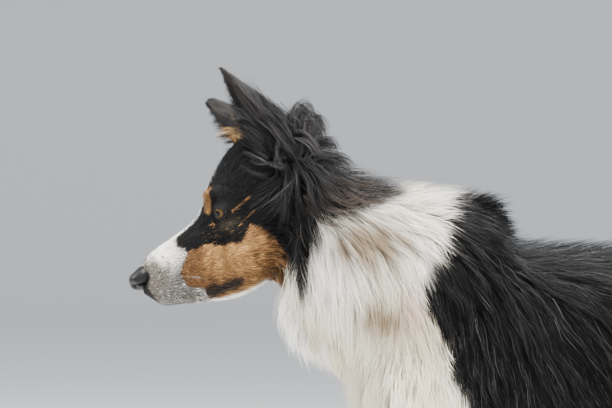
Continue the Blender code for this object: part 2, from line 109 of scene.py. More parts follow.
def waves(points, size, seed):
    """A smooth random field between about -1 and 1 whose lumps are about this size."""
    local = np.random.default_rng(seed)
    total = np.zeros(len(points))
    for _ in range(7):
        direction = local.normal(size=3)
        direction *= (0.6 + 0.8 * local.random()) * math.pi / (np.linalg.norm(direction) * size)
        total += np.sin(points @ direction + local.random() * FULL_TURN)
    return total / 2.6


def curve(table, at):
    """Straight lines through a table of (at, value)."""
    table = np.asarray(table)
    return np.interp(at, table[:, 0], table[:, 1])


def spot(a, b, at, size):
    """1 at one place, seen along two directions, and fading out round it."""
    return np.exp(-(((a - at[0]) / size[0]) ** 2 + ((b - at[1]) / size[1]) ** 2))


def new_object(name, data):
    obj = bpy.data.objects.new(name, data)
    bpy.context.scene.collection.objects.link(obj)
    return obj


def mesh_object(name, vertices, faces):
    mesh = bpy.data.meshes.new(name)
    mesh.from_pydata([tuple(v) for v in vertices], [], [tuple(f) for f in faces])
    mesh.shade_smooth()
    return new_object(name, mesh)


def ring_quads(rings, turns, flip=False):
    """Faces between rings of points, each ring closed on itself."""
    faces = []
    for i in range(rings - 1):
        for j in range(turns):
            a, d = i * turns + j, i * turns + (j + 1) % turns
            b, c = a + turns, d + turns
            faces.append((a, d, c, b) if flip else (a, b, c, d))
    return faces


def face_out(mesh, merge=0.0):
    """Turns all faces outwards, once points closer than this are merged."""
    bm = bmesh.new()
    bm.from_mesh(mesh)
    if merge:
        bmesh.ops.remove_doubles(bm, verts=bm.verts, dist=merge)
    bmesh.ops.recalc_face_normals(bm, faces=bm.faces)
    bm.to_mesh(mesh)
    bm.free()


def paint(mesh, name, colours):
    """Stores a colour for each point of a mesh."""
    layer = mesh.color_attributes.new(name, "FLOAT_COLOR", "POINT")
    rgba = np.concatenate([colours, np.ones((len(colours), 1))], 1)
    layer.data.foreach_set("color", rgba.astype(np.float32).ravel())


def points_of(mesh):
    flat = np.empty(len(mesh.vertices) * 3)
    mesh.vertices.foreach_get("co", flat)
    return flat.reshape(-1, 3)


def normals_of(mesh):
    flat = np.empty(len(mesh.vertices) * 3, np.float32)
    mesh.vertex_normals.foreach_get("vector", flat)
    return flat.reshape(-1, 3).astype(float)


def triangles_of(mesh):
    mesh.calc_loop_triangles()
    flat = np.empty(len(mesh.loop_triangles) * 3, np.int32)
    mesh.loop_triangles.foreach_get("vertices", flat)
    return flat.reshape(-1, 3)


def edges_of(mesh):
    flat = np.empty(len(mesh.edges) * 2, np.int32)
    mesh.edges.foreach_get("vertices", flat)
    return flat.reshape(-1, 2)


class Spread:
    """Averages a value over each vertex's neighbours, again and again."""

    def __init__(self, mesh):
        self.edges = edges_of(mesh)
        self.count = len(mesh.vertices)
        self.degree = np.bincount(self.edges.ravel(), minlength=self.count).clip(1)

    def once(self, values):
        flat = values.reshape(self.count, -1)
        total = np.empty_like(flat)
        a, b = self.edges.T
        for i in range(flat.shape[1]):
            column = flat[:, i]
            total[:, i] = np.bincount(a, column[b], self.count) + np.bincount(b, column[a], self.count)
        return (total / self.degree[:, None]).reshape(values.shape)

    def times(self, values, rounds, factor=0.5):
        for _ in range(rounds):
            values = values + factor * (self.once(values) - values)
        return values

    def fair(self, points, rounds):
        """Smooths without shrinking."""
        for _ in range(rounds):
            points = points + 0.5 * (self.once(points) - points)
            points = points - 0.52 * (self.once(points) - points)
        return points


# ---------------------------------------------------------------- the skin
REGIONS = (
    "nose", "lower_jaw", "head", "ear_left", "ear_right", "neck", "ribcage", "rump", "tail_root",
    "tail_brush", "upper_arm", "forearm", "foreleg_pastern", "forepaw", "thigh", "shank",
    "hindleg_pastern", "hindpaw",
)
FACE = ("head", "lower_jaw")
EARS = ("ear_left", "ear_right")
BODY = ("neck", "ribcage", "rump", "upper_arm", "thigh")
TAIL = ("tail_root", "tail_brush")
FORELEG = ("forearm", "foreleg_pastern", "forepaw")
HINDLEG = ("shank", "hindleg_pastern", "hindpaw")
PAWS = ("forepaw", "hindpaw")
# Depth of the coat in each region, in metres
COAT_DEPTH = {
    "nose": 0.003, "lower_jaw": 0.0018, "head": 0.003, "ear_left": 0.0012, "ear_right": 0.0012,
    "neck": 0.028, "ribcage": 0.021, "rump": 0.018, "tail_root": 0.026, "tail_brush": 0.030,
    "upper_arm": 0.011, "forearm": 0.0045, "foreleg_pastern": 0.0025, "forepaw": 0.0016, "thigh": 0.014,
    "shank": 0.007, "hindleg_pastern": 0.003, "hindpaw": 0.0016,
}


def region_of(node):
    """Index in REGIONS of a CAD node, or None if it has no coat."""
    if node.startswith(("eye", "claw")):
        return None
    if node in REGIONS:
        return REGIONS.index(node)
    leg, last = node.split("_")[0], node.split("_", 2)[-1]
    if leg in ("forepaw", "hindpaw"):
        return REGIONS.index(leg)
    return REGIONS.index(f"{leg}_pastern" if last == "pastern" else last)


def is_in(regions, *names):
    """Whether each place lies in one of the named regions."""
    return np.isin(regions, [REGIONS.index(name) for name in names])


SWELL = 0.0005  # metres that each solid grows, so that neighbours meet


def flesh():
    """All the soft solids in one mesh, a little swollen so that they meet, with each face's region."""
    bm = bmesh.new()
    regions = []
    for name, obj in sorted(nodes.items()):
        region = REGIONS.index("head") if name.startswith("eye") else region_of(name)
        if region is None:
            continue
        one = bmesh.new()
        one.from_mesh(obj.data)
        one.transform(obj.matrix_world)
        bmesh.ops.remove_doubles(one, verts=one.verts, dist=1e-6)
        one.normal_update()
        for vertex in one.verts:
            vertex.co += vertex.normal * SWELL
        mesh = bpy.data.meshes.new("one")
        one.to_mesh(mesh)
        one.free()
        bm.from_mesh(mesh)
        regions += [region] * (len(bm.faces) - len(regions))
        bpy.data.meshes.remove(mesh)
    mesh = bpy.data.meshes.new("flesh")
    bm.to_mesh(mesh)
    bm.free()
    return mesh, np.array(regions)


def evaluated(obj):
    """Swaps the object's mesh for the one its modifiers make."""
    graph = bpy.context.evaluated_depsgraph_get()
    mesh = bpy.data.meshes.new_from_object(obj.evaluated_get(graph))
    obj.modifiers.clear()
    obj.data = mesh
    return mesh


VOXEL = 0.0022
THIN_LIMB = 0.34  # the most of a limb's thickness that its coat takes up on one side
REFINED = 0.021  # how far from an eye's middle the skin is made finer
MOST_SKIN_FACES = 150000  # triangles left by thinning, before the skin round the eyes is refined
flesh_mesh, face_region = flesh()
flesh_tree = BVHTree.FromPolygons(
    [v.co for v in flesh_mesh.vertices], [p.vertices[:] for p in flesh_mesh.polygons]
)
skin = new_object("skin", flesh_mesh)
remesh = skin.modifiers.new("remesh", "REMESH")
remesh.mode = "VOXEL"
remesh.voxel_size = VOXEL
outline_mesh = evaluated(skin)


def keep_largest(mesh):
    """Drops the hollows that the cuts between the solids leave inside."""
    edges = edges_of(mesh)
    label = np.arange(len(mesh.vertices))
    while True:
        low = np.minimum(label[edges[:, 0]], label[edges[:, 1]])
        before = label.copy()
        np.minimum.at(label, edges[:, 0], low)
        np.minimum.at(label, edges[:, 1], low)
        label = label[label]
        if (label == before).all():
            break
    values, counts = np.unique(label, return_counts=True)
    if len(values) == 1:
        return
    keep = values[counts.argmax()]
    bm = bmesh.new()
    bm.from_mesh(mesh)
    bm.verts.ensure_lookup_table()
    bmesh.ops.delete(bm, geom=[bm.verts[i] for i in np.nonzero(label != keep)[0]], context="VERTS")
    bm.to_mesh(mesh)
    bm.free()


keep_largest(outline_mesh)
outline = points_of(outline_mesh)
spread = Spread(outline_mesh)
outline = spread.fair(outline, 14)
nearest_face = np.array([flesh_tree.find_nearest(Vector(p))[2] for p in outline])
region = face_region[nearest_face]
shaggy = (~is_in(region, *FACE, "nose", *EARS, *PAWS)).astype(float)
rough = spread.times(shaggy, 12)
outline = outline + rough[:, None] * (spread.fair(outline, 40) - outline)
outline_mesh.vertices.foreach_set("co", outline.ravel())
outline_mesh.update()
outline_normal = normals_of(outline_mesh)
outline_tree = BVHTree.FromPolygons(outline.tolist(), triangles_of(outline_mesh).tolist())


def thickness(points, normals, tree, longest=0.2):
    """How far it is straight in to the other side."""
    start_in = 0.0008
    found = np.full(len(points), longest)
    for i, (point, normal) in enumerate(zip(points, normals)):
        hit = tree.ray_cast(Vector(point - normal * start_in), Vector(-normal), longest)
        if hit[3] is not None:
            found[i] = hit[3]
    return found


def coat_depth(points, regions):
    """How thick the coat is, before thin limbs limit it."""
    depth = np.array([COAT_DEPTH[name] for name in REGIONS])[regions]
    u = in_head(points)[:, 0]
    face = 0.0016 + 0.0016 * ease(0.05, 0.10, u) + 0.008 * ease(0.15, 0.20, u)
    depth = np.where(is_in(regions, *FACE), face, depth)
    x, _, z = (points - WITHERS).T
    legs = is_in(regions, "thigh", "shank")
    depth = np.where(legs, depth + 0.022 * ease(0.385, 0.43, x) * ease(0.18, 0.26, z), depth)
    return np.where(is_in(regions, "forearm"), depth + 0.008 * ease(-0.01, 0.02, x), depth)


depth = coat_depth(outline, region)
depth = spread.times(depth, 45)
depth = np.minimum(depth, THIN_LIMB * thickness(outline, outline_normal, outline_tree))
depth = spread.times(depth, 12)
inward = unit(spread.times(outline_normal, 12))
skin_points = outline - inward * depth[:, None]
skin_points = skin_points + (0.25 + 0.75 * rough[:, None]) * (spread.times(skin_points, 6) - skin_points)


# ---- the line of the lips and the slits of the eyes
MOUTH = (
    (0.0080, -0.0190), (0.0200, -0.0290), (0.0400, -0.0400), (0.0600, -0.0458), (0.0800, -0.0485),
    (0.0970, -0.0495),
)
EYES = {"left": -1.0, "right": 1.0}
SLIT = math.radians(38)  # half angle of the slit between the lids, seen from the eye's middle
GAPE_UP, GAPE_DOWN = math.radians(26), math.radians(23)
EYE_SUNK = (0, 0.0022, 0)  # how much nearer to the middle of the head the eyeball sits than its solid
LOOK_OUT = math.radians(40)  # how far out from straight ahead the eye looks
LOOK_UP = 0.12
EYE_UP = (0.22, 0.0, 1.0)
CORNER_DROP = 0.10
NOSE_MIDDLE, NOSE_SIZE = (0.0120, 0.0065), (0.0145, 0.0155, 0.0115)


def eye_frame(side):
    """The middle of the eyeball and its axes: along the slit to the back, up the eye, and out of it."""
    centre = from_head((EYE_IN_HEAD - EYE_SUNK) * (1, side, 1))
    look = unit(np.array((-math.cos(LOOK_OUT), side * math.sin(LOOK_OUT), LOOK_UP)))
    up = unit(np.array(EYE_UP) - look * look.dot(EYE_UP))
    back = np.cross(up, look) * side
    if back[0] < 0:
        back = -back
    return centre, HEAD @ unit(back), HEAD @ up, HEAD @ look


def slit_share(points, side):
    """How far out points lie in the slit, 1 on its edge, and how far they are from the eye's middle."""
    centre, back, up, look = eye_frame(side)
    away = points - centre
    distance = np.linalg.norm(away, axis=1)
    along = np.arctan2(away @ back, away @ look)
    high = np.arcsin(np.clip(away @ up / np.maximum(distance, 1e-9), -1, 1))
    gape = np.where(high > 0, GAPE_UP, GAPE_DOWN)
    # the inner corner reaches further forward and sits a little lower
    high = high + CORNER_DROP * np.minimum(along, 0) ** 2
    return np.sqrt((along / SLIT) ** 2 + (high / gape) ** 2), distance


def in_nose(points):
    """Under 1 inside the nose leather."""
    u, v, n = in_head(points).T
    (back, down), (long, wide, high) = NOSE_MIDDLE, NOSE_SIZE
    return ((u - back) / long) ** 2 + (v / wide) ** 2 + ((n + down) / high) ** 2


outline_mesh.vertices.foreach_set("co", skin_points.ravel())
group = skin.vertex_groups.new(name="coarse")
coarse = spread.times(shaggy, 6)
for level in range(1, 11):
    at = np.nonzero(np.ceil(coarse * 10) == level)[0]
    if len(at):
        group.add(at.tolist(), level / 10, "REPLACE")
thin = skin.modifiers.new("thin", "DECIMATE")
thin.ratio = min(1.0, MOST_SKIN_FACES / (2 * len(outline_mesh.polygons)))
thin.vertex_group = "coarse"
thin.vertex_group_factor = 1.0
skin_mesh = evaluated(skin)


def refine(mesh, wanted):
    """Splits the faces round chosen places in four."""
    points = points_of(mesh)
    chosen = wanted(points)
    bm = bmesh.new()
    bm.from_mesh(mesh)
    bm.edges.ensure_lookup_table()
    edges = [e for e in bm.edges if chosen[e.verts[0].index] or chosen[e.verts[1].index]]
    bmesh.ops.subdivide_edges(bm, edges=edges, cuts=1, use_grid_fill=True)
    bmesh.ops.triangulate(bm, faces=[f for f in bm.faces if len(f.verts) > 3])
    bm.to_mesh(mesh)
    bm.free()
    points = points_of(mesh)
    local = Spread(mesh)
    weight = local.times(wanted(points).astype(float), 3)[:, None]
    for _ in range(5):
        points = points + 0.5 * weight * (local.once(points) - points)
    mesh.vertices.foreach_set("co", points.ravel())


def round_eyes(points):
    near = np.zeros(len(points), bool)
    for side in EYES.values():
        near |= np.linalg.norm(points - eye_frame(side)[0], axis=1) < REFINED
    return near


# The orbit: skin is stretched from the lids out to the brow and the cheekbone, never inside the eyeball
ORBIT = 0.024  # how far from the eye's middle it is stretched
CLEAR = EYE_RADIUS + 0.0012
BEHIND = -0.004  # skin further back than this from the eye's middle is left alone
MUZZLE_DIP = 0.0034
BEHIND_NOSE = (0.0140, 0, -0.0065)  # where the skin under the nose leather draws back to
# How far the skin lies from the eyeball, by the share that slit_share gives: inside the slit it sinks
# behind the eyeball, and outside it lies on the eyeball as lids
LID_SHARES = (0.9, 1.08, 1.25, 1.6, 2.2)
LID_LEVELS = (-0.0025, -0.0002, 0.0010, 0.0014, 0.0022)


def push_out(points, side, beyond, nearer, level):
    """Moves skin beyond this share and nearer to the eyeball than this out to a level; says where."""
    centre, _, _, look = eye_frame(side)
    share, distance = slit_share(points, side)
    low = (share > beyond) & (distance < EYE_RADIUS + nearer) & ((points - centre) @ look > BEHIND)
    points[low] = centre + (points[low] - centre) * ((EYE_RADIUS + level) / distance[low])[:, None]
    return low, share, distance


points = points_of(skin_mesh)
local_spread = Spread(skin_mesh)
for side in EYES.values():
    centre = eye_frame(side)[0]
    start = np.linalg.norm(points - centre, axis=1)
    ring = (start < ORBIT) & (in_head(points)[:, 1] * side > 0)
    for _ in range(60):
        distance = np.linalg.norm(points - centre, axis=1)
        low = ring & (distance < CLEAR)
        points[low] = centre + (points[low] - centre) * (CLEAR / distance[low])[:, None]
        points = points + 0.5 * ring[:, None] * (local_spread.once(points) - points)
skin_mesh.vertices.foreach_set("co", points.ravel())
refine(skin_mesh, round_eyes)
refine(skin_mesh, round_eyes)
points = points_of(skin_mesh)
local_spread = Spread(skin_mesh)
for side in EYES.values():
    share, distance = slit_share(points, side)
    level = EYE_RADIUS + np.interp(share, LID_SHARES, LID_LEVELS)
    weight = (1 - ease(1.35, 2.15, share)) * (1 - ease(0.016, 0.021, distance))
    centre = eye_frame(side)[0]
    moved = centre + (points - centre) * (level / np.maximum(distance, 1e-9))[:, None]
    points = points + weight[:, None] * (moved - points)
    for _ in range(3):
        low, share, distance = push_out(points, side, 1.12, 0.0009, 0.0010)
        low |= (share < 2.2) & (share > 1.2) & (distance < 0.018)
        weight = local_spread.times(low.astype(float), 2)[:, None]
        points = points + 0.6 * weight * (local_spread.once(points) - points)
    push_out(points, side, 1.15, 0.0006, 0.0006)
# the tip of the muzzle dips
dip = MUZZLE_DIP * ease(0.042, 0.010, in_head(points)[:, 0])
points = points - dip[:, None] * HEAD[:, 2]
# the skin draws back under the nose leather
inside = in_nose(points)
weight = (1 - ease(0.95, 1.3, inside))[:, None]
points = points + weight * 0.32 * (from_head(BEHIND_NOSE) - points)
skin_mesh.vertices.foreach_set("co", points.ravel())
skin_mesh.update()
skin_mesh.shade_smooth()
print("skin", len(outline), "points before thinning,", len(skin_mesh.polygons), "faces after")

skin_points = points_of(skin_mesh)
skin_normal = normals_of(skin_mesh)
skin_faces = triangles_of(skin_mesh)
skin_tree = BVHTree.FromPolygons(skin_points.tolist(), skin_faces.tolist())
skin_spread = Spread(skin_mesh)
found = [outline_tree.find_nearest(Vector(p)) for p in skin_points]
skin_depth = np.array([f[3] for f in found])
near_vertex = triangles_of(outline_mesh)[[f[2] for f in found], 0]
skin_region = region[near_vertex]
skin_depth = skin_spread.times(np.minimum(skin_depth, 0.05), 3)


# How deep in a groove each place of the skin is, from 0 to 1; the paws are darkened by it as painted shade
skin_hollow = np.sum((skin_spread.times(skin_points, 6) - skin_points) * skin_normal, 1)
skin_hollow = skin_spread.times(ease(0.00005, 0.00060, skin_hollow), 1)


# ---------------------------------------------------------------- the lie of the coat
def ear_axis(name):
    """The foot of an ear and the way it points."""
    side = -1 if name == "ear_left" else 1
    base = from_head((0.180, side * 0.040, 0.060))
    tip = from_head((0.170, -0.055, 0.150)) if side < 0 else from_head((0.1475, 0.056, 0.126))
    return base, unit(tip - base)


# Behind the withers and up, and the way the hair of the side points there: back and up
LIE = (
    (-0.230, 0.527, 0.25, -1.0), (-0.207, 0.537, 0.00, -1.0), (-0.208, 0.477, -0.08, -1.0),
    (-0.217, 0.597, 0.60, -0.60), (-0.167, 0.584, 0.85, -0.50), (-0.167, 0.560, 0.90, -0.35),
    (-0.117, 0.580, 0.93, -0.35), (-0.077, 0.584, 0.97, -0.20), (-0.107, 0.537, 0.80, -0.60),
    (-0.150, 0.534, 0.70, -0.60), (-0.173, 0.520, 0.35, -0.95), (-0.167, 0.487, 0.25, -1.0),
    (-0.183, 0.450, 0.00, -1.0), (-0.133, 0.464, 0.45, -0.90), (-0.103, 0.464, 0.05, -1.0),
    (-0.217, 0.437, -0.15, -1.0), (-0.073, 0.510, 0.50, -0.85), (-0.083, 0.404, 0.20, -1.0),
    (-0.133, 0.387, 0.05, -1.0), (-0.167, 0.387, -0.10, -1.0), (-0.063, 0.470, 0.25, -1.0),
    (-0.043, 0.504, 0.40, -0.90), (-0.033, 0.537, 0.75, -0.40), (-0.010, 0.564, 0.95, -0.05),
    (-0.050, 0.420, 0.12, -1.0), (-0.010, 0.470, 0.40, -0.90), (-0.010, 0.404, 0.20, -1.0),
    (0.033, 0.494, 0.65, -0.75), (0.033, 0.420, 0.40, -0.95), (0.083, 0.504, 0.85, -0.50),
    (0.083, 0.437, 0.55, -0.85), (0.067, 0.525, 1.00, -0.15), (0.150, 0.500, 0.90, -0.45),
    (0.150, 0.420, 0.65, -0.75), (0.180, 0.340, 0.70, -0.60), (0.200, 0.525, 1.00, -0.10),
    (0.260, 0.480, 0.90, -0.45), (0.260, 0.400, 0.75, -0.60), (0.250, 0.310, 0.85, -0.30),
    (0.080, 0.300, 0.80, -0.50), (0.330, 0.500, 0.90, -0.35), (0.400, 0.480, 0.85, -0.65),
    (0.330, 0.420, 0.60, -0.80), (0.430, 0.430, 0.55, -0.90), (0.330, 0.340, 0.50, -0.90),
    (0.400, 0.330, 0.60, -0.85), (0.430, 0.300, 0.55, -0.90), (0.380, 0.240, 0.50, -0.95),
    (-0.100, 0.330, 0.10, -1.0), (0.000, 0.320, 0.30, -0.95), (-0.150, 0.330, 0.00, -1.0),
    (-0.040, 0.270, 0.25, -1.0),
)


def side_lie(x, z):
    """The way the hair of the side points, blended from the places in the table."""
    reach = 0.026
    back, up, total = np.zeros(len(x)), np.zeros(len(x)), np.zeros(len(x))
    for at_x, at_z, way_x, way_z in LIE:
        gap = (x - at_x) ** 2 + (z - at_z) ** 2
        weight = np.exp(-gap / (2 * reach**2)) + 1e-5 / (gap + 1e-3)
        length = math.hypot(way_x, way_z)
        back, up, total = back + weight * way_x / length, up + weight * way_z / length, total + weight
    return back / total, up / total


def lie(points, regions):
    """The way the hair points at each place before it is smoothed, in the model's axes."""
    x, y, z = (points - WITHERS).T
    side = np.sign(y)
    flow = np.zeros((len(points), 3))
    zero = np.zeros(len(points))

    def put(names, *vector):
        which = is_in(regions, *names)
        flow[which] = np.stack(np.broadcast_arrays(*vector, zero)[:3], -1)[which]

    u, v, n = in_head(points).T
    down = ease(0.0, -0.04, n)
    head_flow = np.stack(
        (
            1.0 - 0.45 * ease(0.155, 0.19, u) * down,
            0.25 * np.sign(v) * ease(0.003, 0.02, np.abs(v)),
            0.10 - 0.35 * down * ease(0.02, 0.08, u) + 0.30 * ease(0.02, 0.05, n)
            - 0.55 * ease(0.16, 0.20, u),
        ),
        -1,
    )
    for eye in EYES.values():
        away = np.stack((u, v, n), -1) - EYE_IN_HEAD * (1, eye, 1)
        pull = np.exp(-((np.linalg.norm(away, axis=1) / 0.020) ** 2))[:, None]
        head_flow = head_flow * (1 - 0.7 * pull) + unit(away) * 1.1 * pull
    which = is_in(regions, *FACE, "nose")
    flow[which] = (head_flow @ HEAD.T)[which]
    for name in EARS:
        _, direction = ear_axis(name)
        low = (ease(0.108, 0.080, n) * ease(0.160, 0.178, u))[:, None]
        way = direction * (1 - low) + np.array((0.75, 0.0, -0.40)) * low
        put((name,), *way.T)
    back, up = side_lie(x, z)
    put(BODY, back, 0.06 * side, up)
    put(TAIL, 0.22 + 0.5 * ease(0.22, 0.14, z), zero, -1.0 + 0.5 * ease(0.20, 0.13, z))
    put(("forearm", "foreleg_pastern"), 0.30 + zero, zero, -1.0 + zero)
    put(("shank",), 0.42 + zero, zero, -0.95 + zero)
    put(("hindleg_pastern",), 0.12 + zero, zero, -1.0 + zero)
    for name, middle in (("forepaw", -0.046), ("hindpaw", 0.366)):
        forward = -0.9 * ease(middle + 0.02, middle - 0.03, x) + 0.1
        put((name,), forward, zero, -0.9 + 0.35 * ease(0.035, 0.01, z))
    return unit(flow)


def onto_surface(vectors, normals):
    return unit(vectors - normals * np.sum(vectors * normals, 1, keepdims=True))


flow = lie(skin_points, skin_region)
for _ in range(10):
    flow = onto_surface(skin_spread.times(flow, 3), skin_normal)

# ---------------------------------------------------------------- markings
BLACK = linear(7, 7, 8)
WHITE = linear(246, 243, 234)
CREAM = linear(216, 204, 172)
TAN = linear(180, 136, 84)
DARK_TAN = linear(88, 58, 34)
BROWN_GREY = linear(104, 92, 84)
PINK = linear(214, 176, 165)
SHEEN_HAIRS = linear(56, 53, 52)  # lighter hairs in the black, as painted sheen
UNDER_EYE_SHEEN = linear(96, 90, 74)
LIP_DARK = linear(30, 28, 26)
MUZZLE_GREY = linear(68, 62, 54)
MUZZLE_DARK = linear(30, 27, 25)
MUZZLE_BROWN = linear(104, 88, 76)
PHILTRUM = linear(28, 26, 25)
FLECK = linear(62, 48, 40)
EAR_CUP = linear(96, 84, 78)
EAR_SHEEN = linear(74, 70, 67)
STAIN = linear(120, 93, 60)
# painted sheen: the grey of lit black hair, given as their colour to the curl, fan and temple locks
SHEEN_GREY = linear(70, 68, 68)
BLOND = linear(205, 168, 116)
WHISKER = linear(120, 112, 105)
BARE_SKIN = linear(26, 24, 24)
EAR_FACES = math.radians(35)  # how far out from straight ahead the cup of an ear faces

CHEEK_TOP = (
    (0.048, -0.022), (0.060, -0.004), (0.083, 0.000), (0.094, -0.009), (0.112, -0.0145),
    (0.122, -0.010), (0.1315, -0.003), (0.140, -0.012), (0.147, -0.026), (0.151, -0.048),
    (0.156, -0.075),
)
# Half the width of the white line over the nose and the forehead
BLAZE = (
    (0.050, 0.0100), (0.066, 0.0062), (0.085, 0.0034), (0.110, 0.0022), (0.128, 0.0014),
    (0.136, -0.004),
)
MUZZLE_BACK = (
    (-0.060, 0.068), (-0.042, 0.066), (-0.032, 0.050), (-0.018, 0.048), (-0.002, 0.063),
    (0.012, 0.060), (0.030, 0.060),
)
# Height and distance behind the withers of the edges between black and white
CAPE_BACK = (
    (0.455, -0.30), (0.461, -0.209), (0.490, -0.199), (0.524, -0.190), (0.546, -0.187),
    (0.550, -0.160), (0.559, -0.137), (0.574, -0.106), (0.592, -0.114), (0.70, -0.12),
)
CAPE_FRONT = ((0.461, -0.209), (0.475, -0.214), (0.499, -0.220), (0.510, -0.32), (0.70, -0.50))
SADDLE_FRONT = (
    (0.20, 0.01), (0.300, -0.030), (0.359, -0.049), (0.393, -0.059), (0.426, -0.074), (0.455, -0.091),
    (0.484, -0.091), (0.521, -0.071), (0.561, -0.056), (0.600, -0.030),
)


def ear_inside(points, normals, regions):
    """Whether a place is in the cup of an ear."""
    _, v, n = in_head(points).T
    open_way = np.stack((0 * v - math.cos(EAR_FACES), math.sin(EAR_FACES) * np.sign(v), 0 * v), -1) @ HEAD.T
    return is_in(regions, *EARS) & (np.sum(normals * open_way, 1) > 0.30) & (n > 0.085)


def markings(points, normals, regions, speckle=None):
    """The colour of the hair at each place, and whether it is white. speckle: a random number for each."""
    u, v, n = in_head(points).T
    x, y, z = (points - WITHERS).T
    ragged = waves(points, 0.012, 3)
    coarse = waves(points, 0.035, 4)
    mottle = waves(points, 0.0055, 5)
    even = speckle is None
    speckle = np.full(len(points), 0.45) if even else speckle
    colour = np.broadcast_to(BLACK, (len(points), 3)).copy()

    def mix(amount, other):
        """Brings the colour nearer to another one, fully where the amount is 1."""
        share = np.clip(np.asarray(amount, float), 0, 1)[:, None]
        colour[:] = colour + (other - colour) * share

    is_head = is_in(regions, *FACE, "nose")
    ear = is_in(regions, *EARS)
    trunk = ~(is_head | ear)
    inside = ear_inside(points, normals, regions)
    # painted sheen: a share of the dark tufts of the body drawn grey, more of them away from the head
    mix(trunk * (speckle > 0.84) * (0.30 + 0.45 * ease(-0.22, -0.16, x)), SHEEN_HAIRS)
    # the cheeks: pale tan streaked with darker hair, darkest in front and at the edges
    to_edge = curve(CHEEK_TOP, u) + 0.0020 * ragged - n
    cheek = is_head & (u > 0.045) & (speckle < 0.5 + to_edge / 0.003)
    dark = (
        0.27 + 0.18 * mottle + 0.20 * coarse + 0.80 * (speckle - 0.5)
        + 0.80 * ease(0.086, 0.052, u) + 0.25 * ease(0.006, 0.0, to_edge)
    )
    dark += (
        0.55 * ease(0.013, 0.0, to_edge) * ease(0.092, 0.070, u)
        + 0.40 * ease(0.116, 0.142, u) + 0.25 * ease(-0.034, -0.048, n)
    )
    dark += 0.75 * ease(0.134, 0.156, u) + 0.35 * spot(to_edge, u, (0.024, 0.122), (0.007, 0.006))
    mix(cheek, TAN)
    mix(cheek * np.minimum(dark, 0.82), DARK_TAN)
    mix(cheek * (dark > 1.02) * (speckle > 0.55) * 0.8, BLACK)
    under_eye = is_head & ~cheek & (u > 0.085) & (u < 0.135) & (n < 0.016) & (n > -0.02)
    mix(under_eye * (speckle < 0.05) * 0.5, TAN)
    # brow spots, the corners of the eyes, and the tan streak behind each eye
    brow = (
        ((u - 0.1042) / 0.0090) ** 2
        + ((np.abs(v) - 0.021) / 0.0095) ** 2
        + ((n - 0.0376 - 0.5 * (u - 0.1030)) / 0.0125) ** 2
    ) - 1
    brow = is_head & (speckle < 0.5 - (brow - 0.30 * ragged) / 0.7)
    mix(brow, TAN)
    mix(brow * np.clip(0.80 + 0.30 * mottle + 0.7 * (speckle - 0.45), 0, 0.95), DARK_TAN)
    for slope, low, width, share in ((0.25, 0.0157, 0.0011, 0.46), (0.34, 0.0004, 0.0010, 0.24)):
        streak = is_head & (np.abs(n - low - slope * (u - 0.120)) < width) & (u > 0.121) & (u < 0.143)
        mix(streak * (speckle < share) * 0.42, TAN)
    # painted sheen: a grey spot under each eye
    mix(is_head * 0.30 * spot(u, n, (0.112, 0.006), (0.010, 0.005)), UNDER_EYE_SHEEN)
    corner = is_head & ((u - 0.0985) ** 2 + (n - 0.0125) ** 2 < 0.0028**2)
    mix(corner * (speckle < 0.4) * 0.7, TAN)
    # the muzzle, the blaze and the underside of the jaw
    muzzle = is_head & (speckle < 0.5 + (curve(MUZZLE_BACK, n) + 0.0022 * ragged - u) / 0.004)
    blaze = is_head & (np.abs(v) < curve(BLAZE, u) + 0.0009 * ragged + 0.0012 * (speckle - 0.5)) & (n > 0)
    under = is_head & (np.abs(v) < 0.016 + 0.003 * ragged) & (n < -0.05) & (u > 0.05) & (u < 0.125)
    mix(muzzle | under, WHITE)
    fading = 0.95 - 0.55 * ease(0.085, 0.125, u)
    mix((blaze & ~muzzle) * fading * (speckle < 0.95 - 0.4 * ease(0.09, 0.13, u)), WHITE)
    mix(muzzle * 0.45 * ease(0.050, 0.058, u) * (speckle < 0.6), DARK_TAN)
    off = n - curve(MOUTH, u)
    near_lips = np.exp(-((off / 0.0060) ** 2)) * ease(0.056, 0.072, u) * (1 - ease(0.098, 0.106, u))
    mix((is_head & (near_lips > 0.42 + 0.9 * (speckle - 0.5))) * 0.93, LIP_DARK)
    # white, grey and brown hairs mixed round the nose and along the lips, and freckles
    round_nose = ease(0.018, 0.002, np.hypot(u - 0.0125, n + 0.0065) - 0.0125)
    pepper = 0.12 + 0.85 * round_nose + 0.86 * ease(0.002, -0.024, n - 0.10 * u) * ease(0.080, 0.040, u)
    pepper += 0.25 * np.exp(-((off / 0.0060) ** 2)) * ease(0.085, 0.05, u)
    pepper = np.clip(pepper + 0.12 * mottle, 0, 0.93)
    mix(muzzle * 0.85 * (pepper if even else speckle < pepper), MUZZLE_GREY)
    mix(muzzle * 0.9 * (0.5 * pepper if even else speckle < pepper - 0.45), MUZZLE_DARK)
    mix(muzzle * round_nose * 0.30, MUZZLE_BROWN)
    mix(is_head & (n < -0.0165) & (n > -0.031) & (u < 0.020) & (np.abs(v) < 0.013), PHILTRUM)
    fleck = waves(points, 0.0030, 8) > 1.30 - 0.35 * ease(0.05, 0.02, u)
    mix((muzzle & fleck & (n < 0.012)) * 0.75, FLECK)
    # the ears: a tan tuft in front of each, paler in the cup, and painted grey sheen on the upper outside
    tuft = ear & (n < 0.088 + 0.004 * ragged) & (u < 0.166) & (np.abs(v) < 0.038)
    mix(tuft * (0.20 + 0.45 * (speckle < 0.45)), TAN)
    mix(inside * (0.04 + 0.12 * speckle), EAR_CUP)
    # painted sheen: grey on the upper outside of the ears
    ear_sheen_share = 0.0 if even else 0.12 + 0.38 * (speckle > 0.60)
    mix((ear & ~inside & ~tuft) * ear_sheen_share * ease(0.090, 0.115, n), EAR_SHEEN)
